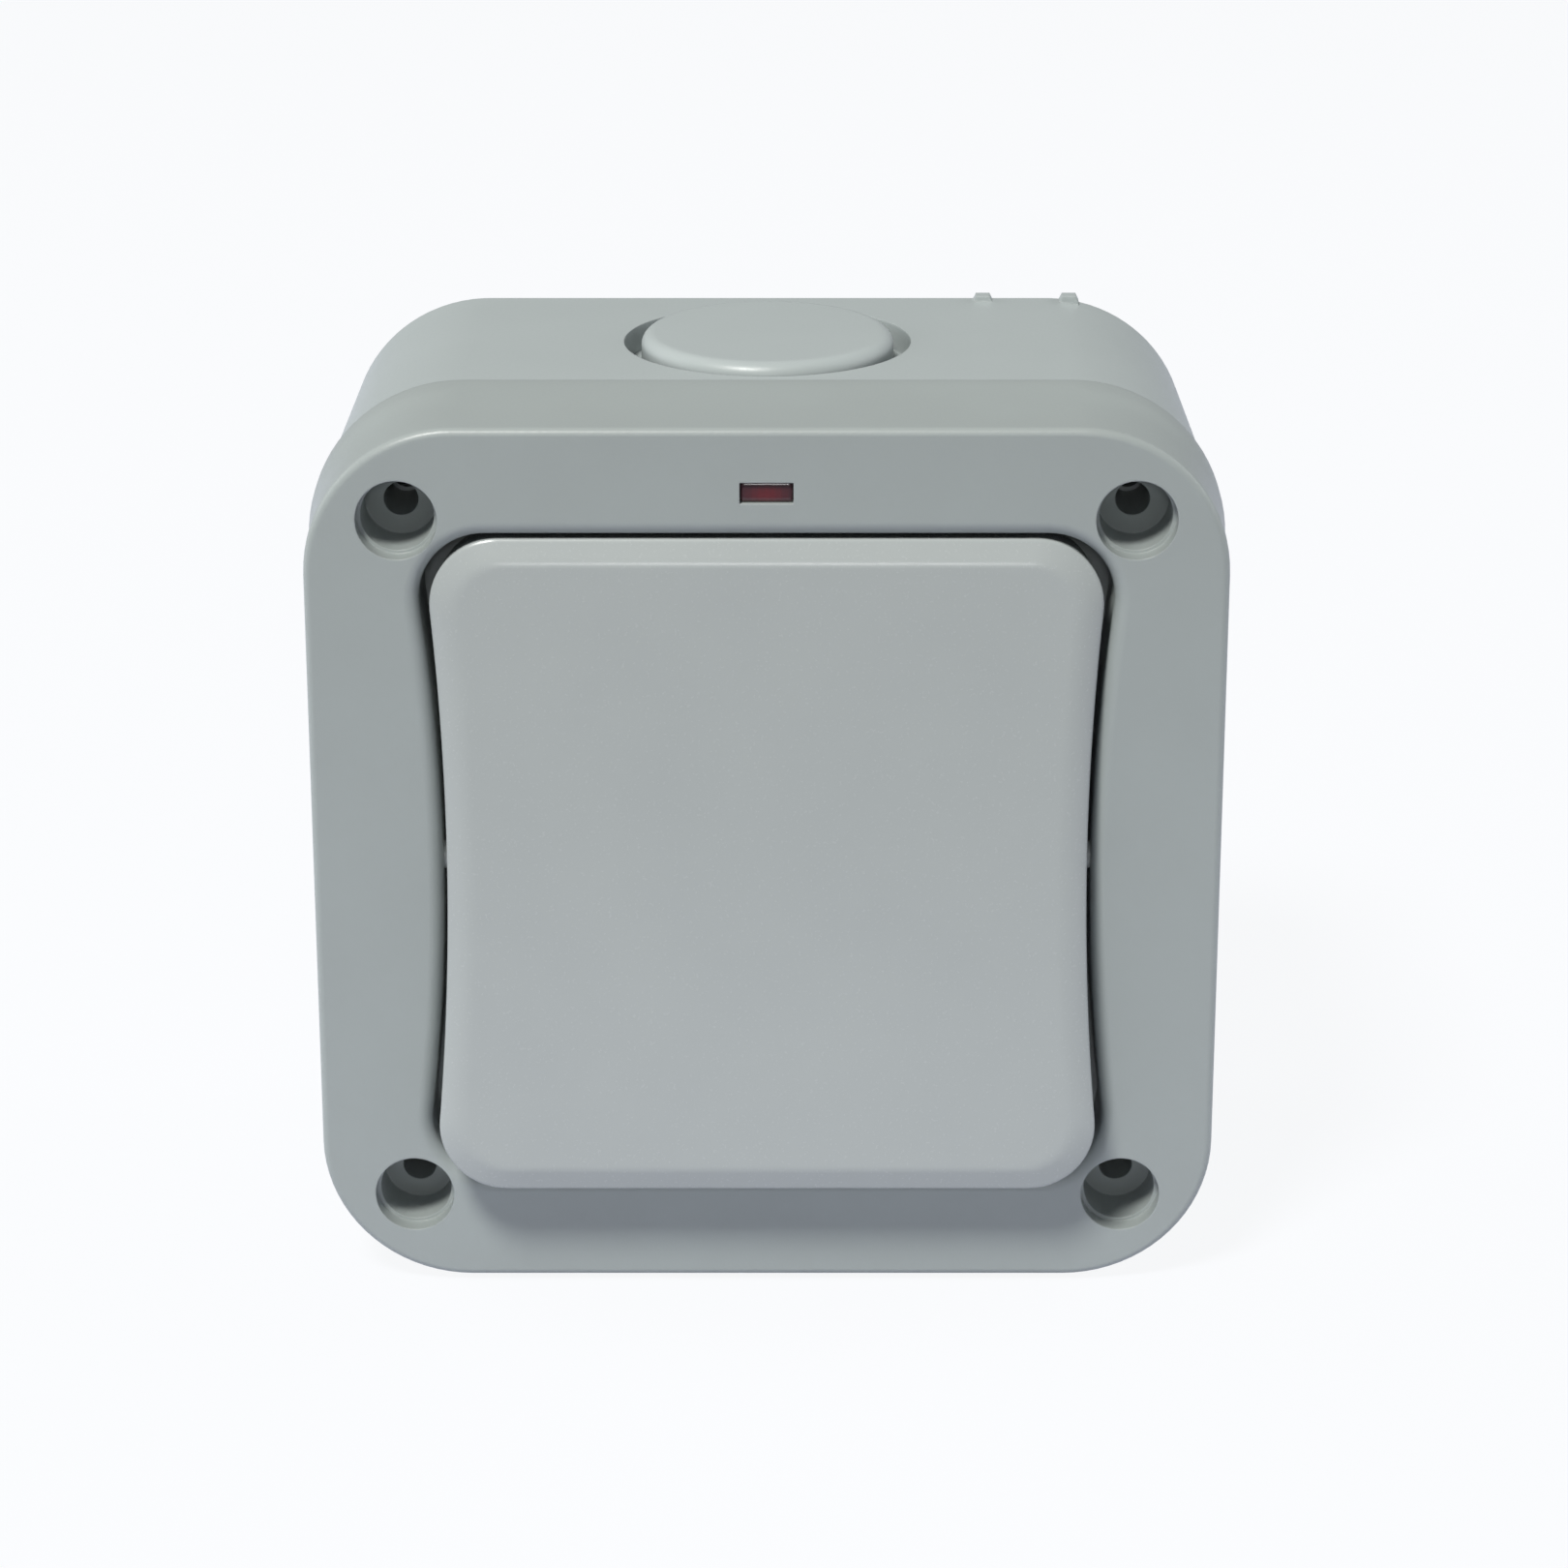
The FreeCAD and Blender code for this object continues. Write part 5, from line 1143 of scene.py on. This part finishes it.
@dataclass
class Screws(Assembly):
    """Every slotted screw of the mechanism, the terminals and the earth terminal."""

    mechanism_across: float = 27.0
    mechanism_height: float = 19.0
    mechanism_head_deep: float = 20.2
    terminal_height: float = 19.4
    terminal_head_deep: float = 36.5
    earth_height: float = -20.0
    earth_head_deep: float = 44.5
    clamp_shank: float = 1.75
    clamp_length: float = 2.2
    clamp_head: float = 2.9
    clamp_pitch: float = 0.7

    def points(self, across: float, height: float, deep: float) -> list[Vector]:
        """Gives four points at plus and minus across and height.

        Args:
            across: Distance from the middle to each side.
            height: Distance from the middle up and down.
            deep: Depth behind the cover's face.

        Returns:
            The points, in metres.
        """
        y = deep - TOTAL_DEPTH
        return [
            Vector((sx * across, y, sz * height)) * MM for sx in (-1, 1) for sz in (-1, 1)
        ]

    def build(self) -> None:
        """Builds the three sets of screws."""
        tree = screw_tree()
        clamp = {
            "Shank radius": self.clamp_shank * MM,
            "Shank length": self.clamp_length * MM,
            "Head radius": self.clamp_head * MM,
            "Thread pitch": self.clamp_pitch * MM,
        }
        lid = self.points(self.mechanism_across, self.mechanism_height, self.mechanism_head_deep)
        poles = self.points(POLE, self.terminal_height, self.terminal_head_deep)
        earth = Vector((0, self.earth_head_deep - TOTAL_DEPTH, self.earth_height)) * MM
        sets = (
            ("mechanism_screw_set", {}, lid, "mechanism_screws"),
            ("terminal_screw_set", clamp, poles, "terminal_screws"),
            ("earth_clamp_screw", {**clamp, "Head turn": 90.0}, [earth], "earth_screw"),
        )
        for name, sizes, points, node in sets:
            values = {"Finish": self.finishes[Slot.PLATED_STEEL], **sizes}
            keep(grow(name, tree, values, points), Body.ENCLOSURE, Slot.PLATED_STEEL, node)


@dataclass
class PlungerSprings(Assembly):
    """The two coil springs that push the plungers onto the moving contacts."""

    mean_radius: float = 1.35
    wire_radius: float = 0.28
    turns: float = 5.0
    dolly_deep: float = 22.0
    dolly_tilt: float = 9.375
    low: float = 0.93
    high: float = 5.57

    def build(self) -> None:
        """Winds the springs about the tilted dolly's guides."""
        tree = coil_tree()
        turn = Matrix.Rotation(math.radians(self.dolly_tilt), 3, "X")
        values = {
            "Finish": self.finishes[Slot.SPRING_STEEL],
            "Mean radius": self.mean_radius * MM,
            "Wire radius": self.wire_radius * MM,
            "Turns": self.turns,
            "Length": (self.high - self.low) * MM,
            "Tilt": -90.0 + self.dolly_tilt,
        }
        for label, side in (("left", -1), ("right", 1)):
            start = turn @ Vector((0, self.low, 0))
            start += Vector((side * POLE, self.dolly_deep - TOTAL_DEPTH, 0))
            piece = grow(f"coil_spring_{label}", tree, values, [start * MM])
            keep(piece, Body.DOLLY, Slot.SPRING_STEEL, f"plunger_spring_{label}")


@dataclass
class LampWiring(Assembly):
    """The neon lamp with its electrodes, its two sleeved leads and the resistor."""

    lamp_deep: float = 5.8
    lamp_height: float = 41.2
    lamp_half: float = 6.0
    glass_facets: int = 40
    glass_profile: Profile = (
        (0.3, 0.0), (0.9, 0.05), (1.35, 0.35), (1.75, 0.9), (2.02, 1.6), (2.1, 2.4),
    )
    electrode_profile: Profile = (
        (0.1, -3.4), (0.3, -3.2), (0.3, 3.6), (0.22, 4.4), (0.22, 5.2),
    )
    electrode_apart: float = 0.45
    electrode_facets: int = 20
    lead_in: float = 0.4
    lead_out: float = 3.0
    crossing: float = 13.95
    low_z: float = 32.0
    wire_deep: float = 32.5
    end_z: float = 20.8
    bare_end: float = 1.6
    conductor_radius: float = 0.28
    resistor_start: float = 23.7
    resistor_length: float = 6.5
    resistor_facets: int = 36
    resistor_profile: Profile = (
        (0.66, 0.0), (1.2, 0.08), (1.46, 0.45), (1.5, 0.9), (1.42, 1.5), (1.32, 2.1),
    )

    def leads(self) -> None:
        """Draws the sleeves and the bare conductors inside them."""
        tree = lead_tree()
        lamp_end, turning = self.lamp_half - self.lead_in, self.lamp_half + self.lead_out
        route = (
            (lamp_end, self.lamp_deep, self.lamp_height),
            (turning, self.lamp_deep, self.lamp_height),
            (turning, self.crossing, self.lamp_height),
            (POLE, self.crossing, self.low_z),
            (POLE, self.wire_deep, self.low_z),
            (POLE, self.wire_deep, self.end_z),
        )
        points, edges = [], []
        for hand in (-1, 1):
            first = len(points)
            points += [Vector((hand * x, y - TOTAL_DEPTH, z)) * MM for x, y, z in route]
            edges += [(first + i, first + i + 1) for i in range(len(route) - 1)]
        values = {"Finish": self.finishes[Slot.LEAD_SLEEVE], "Bare end": self.bare_end * MM}
        sleeve = grow("silicone_sleeves", tree, values, points, edges)
        keep(sleeve, Body.ENCLOSURE, Slot.LEAD_SLEEVE, "lamp_leads")
        radius = self.conductor_radius * MM
        values = {"Finish": self.finishes[Slot.PLATED_STEEL], "Wire radius": radius}
        core = grow("tinned_conductors", tree, values, points, edges)
        keep(core, Body.ENCLOSURE, Slot.PLATED_STEEL)

    def lamp(self) -> None:
        """Builds the glass envelope with its pinched ends and the two electrodes."""
        half, height = self.lamp_half, self.lamp_height
        start = Vector((-half, self.lamp_deep - TOTAL_DEPTH, height))
        shape = bmesh.new()
        envelope = mirrored(self.glass_profile, 2 * half)
        turn_profile(
            shape, envelope, self.glass_facets, lambda x, y, z: start + Vector((x, y, z))
        )
        glass = link_mesh("neon_envelope", shape, self.finishes[Slot.LAMP_GLASS], sharp=60.0)
        keep(glass, Body.ENCLOSURE, Slot.LAMP_GLASS, "neon_lamp")
        shape = bmesh.new()
        for hand in (-1, 1):
            middle = Vector((0, start.y, height + hand * self.electrode_apart))
            turn_profile(
                shape,
                self.electrode_profile,
                self.electrode_facets,
                lambda x, y, z: middle + Vector((hand * x, y, z)),
            )
        rods = link_mesh("neon_electrodes", shape, self.finishes[Slot.PLATED_STEEL])
        keep(rods, Body.ENCLOSURE, Slot.PLATED_STEEL)

    def resistor(self) -> None:
        """Builds the dog-bone body of the resistor round the left lead."""
        start = Vector((-POLE, self.resistor_start - TOTAL_DEPTH, self.low_z))
        shape = bmesh.new()
        bone = mirrored(self.resistor_profile, self.resistor_length)
        turn_profile(
            shape, bone, self.resistor_facets, lambda y, x, z: start + Vector((x, y, z))
        )
        body = link_mesh("dog_bone_resistor", shape, self.finishes[Slot.RESISTOR], sharp=60.0)
        keep(body, Body.ENCLOSURE, Slot.RESISTOR, "lamp_resistor")

    def build(self) -> None:
        """Builds the lamp, its leads and the resistor."""
        self.leads()
        self.lamp()
        self.resistor()


@dataclass
class WindowLens(Assembly):
    """The red lens: a polished block in the window with a wide flange behind it."""

    height: float = 40.8
    half_width: float = 2.7
    half_height: float = 1.05
    corner_steps: int = 6
    front: float = 0.4
    # Growth, corner radius and depth behind the front, from the middle of the crown outwards.
    crown: tuple[tuple[float, float, float], ...] = (
        (-0.45, 0.2, 0.0), (-0.15, 0.25, 0.05), (-0.03, 0.25, 0.15), (0.0, 0.25, 0.3),
    )
    block_corner: float = 0.25
    step: float = 1.2
    back: float = 3.2
    lip: float = 0.9
    lip_corner: float = 0.4
    easing: float = 0.1
    eased_corner: float = 0.3

    def outline(self, grow_by: float, corner: float, deep: float) -> list[Vector]:
        """Gives a rounded rectangle round the window's middle.

        Args:
            grow_by: How far it stands out past the window's block.
            corner: Corner radius.
            deep: Its depth behind the cover's face.

        Returns:
            The points.
        """
        half_x, half_z = self.half_width + grow_by, self.half_height + grow_by
        points = []
        for quarter, (sx, sz) in enumerate(((1, 1), (-1, 1), (-1, -1), (1, -1))):
            for i in range(self.corner_steps + 1):
                angle = math.pi / 2 * (quarter + i / self.corner_steps)
                x = sx * (half_x - corner) + corner * math.cos(angle)
                z = sz * (half_z - corner) + corner * math.sin(angle)
                points.append(Vector((x, deep - TOTAL_DEPTH, z + self.height)))
        return points

    def build(self) -> None:
        """Builds the lens with a slightly crowned front."""
        rim, eased = self.lip, self.easing
        sections = (
            *((wider, corner, self.front + behind) for wider, corner, behind in self.crown),
            (0.0, self.block_corner, self.step),
            (rim - eased, self.eased_corner, self.step),
            (rim, self.lip_corner, self.step + eased),
            (rim, self.lip_corner, self.back - eased),
            (rim - eased, self.eased_corner, self.back),
        )
        shape = bmesh.new()
        bridge_rings(shape, [self.outline(*section) for section in sections])
        lens = link_mesh("window_lens", shape, self.finishes[Slot.LENS], sharp=50.0)
        keep(lens, Body.ENCLOSURE, Slot.LENS, "indicator_lens")


@dataclass
class CarriedNodes(Assembly):
    """The CAD solids that show as they are, in their real finishes."""

    sharp: float = 24.0
    merge: float = 0.001
    paler: tuple[str, ...] = ("back_box", "entry_plug_top", "entry_plug_bottom")

    def smoother(self) -> Tree:
        """Builds the tree that joins loose triangles and smooths all but real edges.

        Returns:
            The tree.
        """
        tree = bpy.data.node_groups.new("join_and_smooth", "GeometryNodeTree")
        for way in ("INPUT", "OUTPUT"):
            tree.interface.new_socket("Geometry", in_out=way, socket_type="NodeSocketGeometry")
        start = add_node(tree, "NodeGroupInput").outputs["Geometry"]
        inputs = {"Geometry": start, "Distance": self.merge * MM}
        merged = add_node(tree, "GeometryNodeMergeByDistance", inputs=inputs)
        shaded = smooth_shading(tree, merged.outputs["Geometry"], self.sharp)
        add_node(tree, "NodeGroupOutput", inputs={"Geometry": shaded})
        return tree

    def build(self) -> None:
        """Gives every carried CAD node its finish and smooth shading."""
        tree = self.smoother()
        slots = {s["node"]: Slot(s["material_slot"]) for s in frame["record"]["subparts"]}
        # The box and its plugs get a paler grey than the cover.
        pale = MouldedPlastic("spark_eroded_pc_box_grey", "ABB2B2", "A6ADAD").build()
        for name, node in frame["nodes"].items():
            finish = pale if name in self.paler else self.finishes[slots[name]]
            node.data.materials.clear()
            node.data.materials.append(finish)
            node.modifiers.new(tree.name, "NODES").node_group = tree
            node.modifiers.new("flat_faces_first", "WEIGHTED_NORMAL").keep_sharp = True
            LOG.info("%s: %s", name, finish.name)


@dataclass(frozen=True)
class Lamp:
    """A round soft lamp that points at the switch.

    Attributes:
        name: The lamp's name.
        toward: Direction from the switch to the lamp.
        distance: Metres from the switch to the lamp.
        size: Diameter in metres.
        power: Radiant power in watts.
        colour: sRGB hex colour.
        in_gloss: Whether shiny surfaces mirror the lamp.
    """

    name: str
    toward: tuple[float, float, float]
    distance: float
    size: float
    power: float
    colour: str = "FDFEFF"
    in_gloss: bool = True

    def hang(self, aim: Vector) -> None:
        """Hangs the lamp.

        Args:
            aim: The point that it shines on, in metres.
        """
        light = bpy.data.lights.new(self.name, "AREA")
        light.shape = "DISK"
        light.size = self.size
        light.energy = self.power
        light.color = linear(self.colour)[:3]
        lamp = add_object(self.name, light)
        toward = Vector(self.toward)
        lamp.location = aim + toward.normalized() * self.distance
        lamp.rotation_euler = toward.to_track_quat("Z", "Y").to_euler()
        lamp.visible_glossy = self.in_gloss


@dataclass
class Studio:
    """A pale floor, a soft key lamp above on the left, weak fill lamps and a dim surround."""

    floor_drop: float = 48.3
    floor_front: float = 250.0
    floor_side: float = 400.0
    floor_back: float = 900.0
    floor_colour: str = "CDCFDE"
    floor_glow: float = 0.92
    backdrop_colour: str = "FDFEFF"
    backdrop: float = 1.0
    surround: float = 0.16
    surround_colour: str = "F4F8FF"
    aim: tuple[float, float, float] = (0.0, -0.03, 0.0)
    # Each lamp's name, direction, distance, size, power and colour.
    lamps: tuple[Lamp, ...] = (
        Lamp("key_lamp", (-2.8, -5.3, 8.7), 1.7, 0.4, 29.6, "FFFFFA"),
        Lamp("overhead_box", (0.0, 0.6, 3.0), 1.2, 0.9, 0.2),
        Lamp("front_window", (0.0, -6.0, 2.0), 1.7, 0.2, 2.6),
        Lamp("left_panel", (-1.0, 0.35, 0.2), 1.2, 0.9, 9.0, in_gloss=False),
        Lamp("right_panel", (1.0, 0.35, 0.2), 1.2, 0.9, 9.0, in_gloss=False),
    )
    camera_place: tuple[float, float, float] = (0.00178, -0.5355, 0.1889)
    camera_pitch: float = 69.481
    camera_lens: float = 112.97
    camera_sensor: float = 36.0

    def world(self) -> None:
        """Sets a dim, even surround that the camera and light through glass see as white."""
        world = bpy.data.worlds.new("white_surround")
        bpy.context.scene.world = world
        tree = empty_tree(world)
        path = add_node(tree, "ShaderNodeLightPath").outputs
        seen = sum_of(tree, "MAXIMUM", path["Is Camera Ray"], path["Is Transmission Ray"])
        pair = ((self.surround_colour, self.surround), (self.backdrop_colour, self.backdrop))
        glow, white = (
            add_node(
                tree, "ShaderNodeBackground", inputs={"Color": linear(hue), "Strength": strength}
            ).outputs[0]
            for hue, strength in pair
        )
        both = add_node(tree, "ShaderNodeMixShader", inputs={0: seen, 1: glow, 2: white})
        add_node(tree, "ShaderNodeOutputWorld", inputs={"Surface": both.outputs[0]})

    def floor(self) -> None:
        """Lays a pale sheet under the switch that lights it from below."""
        mesh = bpy.data.meshes.new("pale_floor")
        near, side, far = -self.floor_front, self.floor_side, self.floor_back
        corners = ((-side, near), (side, near), (side, far), (-side, far))
        sheet = [(x * MM, y * MM, -self.floor_drop * MM) for x, y in corners]
        mesh.from_pydata(sheet, [], [(0, 1, 2, 3)])
        # To the camera the paper is nearly as bright as the backdrop, and keeps a faint shadow.
        material = bpy.data.materials.new("white_paper_sweep")
        tree = empty_tree(material)
        paper_skin = {"Color": linear(self.floor_colour)}
        paper = add_node(tree, "ShaderNodeBsdfDiffuse", inputs=paper_skin).outputs[0]
        glow = {"Color": linear(self.backdrop_colour), "Strength": self.backdrop}
        white = add_node(tree, "ShaderNodeEmission", inputs=glow).outputs[0]
        seen = add_node(tree, "ShaderNodeLightPath").outputs["Is Camera Ray"]
        share = sum_of(tree, "MULTIPLY", seen, self.floor_glow)
        mixed = add_node(tree, "ShaderNodeMixShader", inputs={0: share, 1: paper, 2: white})
        add_node(tree, "ShaderNodeOutputMaterial", inputs={"Surface": mixed.outputs[0]})
        mesh.materials.append(material)
        add_object("pale_floor", mesh)

    def camera(self) -> None:
        """Places the camera where the photograph was taken from."""
        lens = bpy.data.cameras.new("photo_camera")
        lens.sensor_width = self.camera_sensor
        lens.lens = self.camera_lens
        camera = add_object("photo_camera", lens)
        camera.location = self.camera_place
        camera.rotation_euler = (math.radians(self.camera_pitch), 0, 0)
        bpy.context.scene.camera = camera

    def build(self) -> None:
        """Sets up surround, floor, lamps and camera."""
        self.world()
        self.floor()
        for lamp in self.lamps:
            lamp.hang(Vector(self.aim))
        self.camera()
        bpy.context.scene.view_settings.view_transform = "Standard"


def main() -> None:
    """Builds the looks and the studio."""
    logging.basicConfig(level=logging.INFO)
    finishes = finish_table()
    for kind in (CarriedNodes, Rocker, WindowLens, Screws, PlungerSprings, LampWiring):
        kind(finishes).build()
        LOG.info("%s built", kind.__name__)
    Studio().build()


if __name__ == "__main__":
    main()
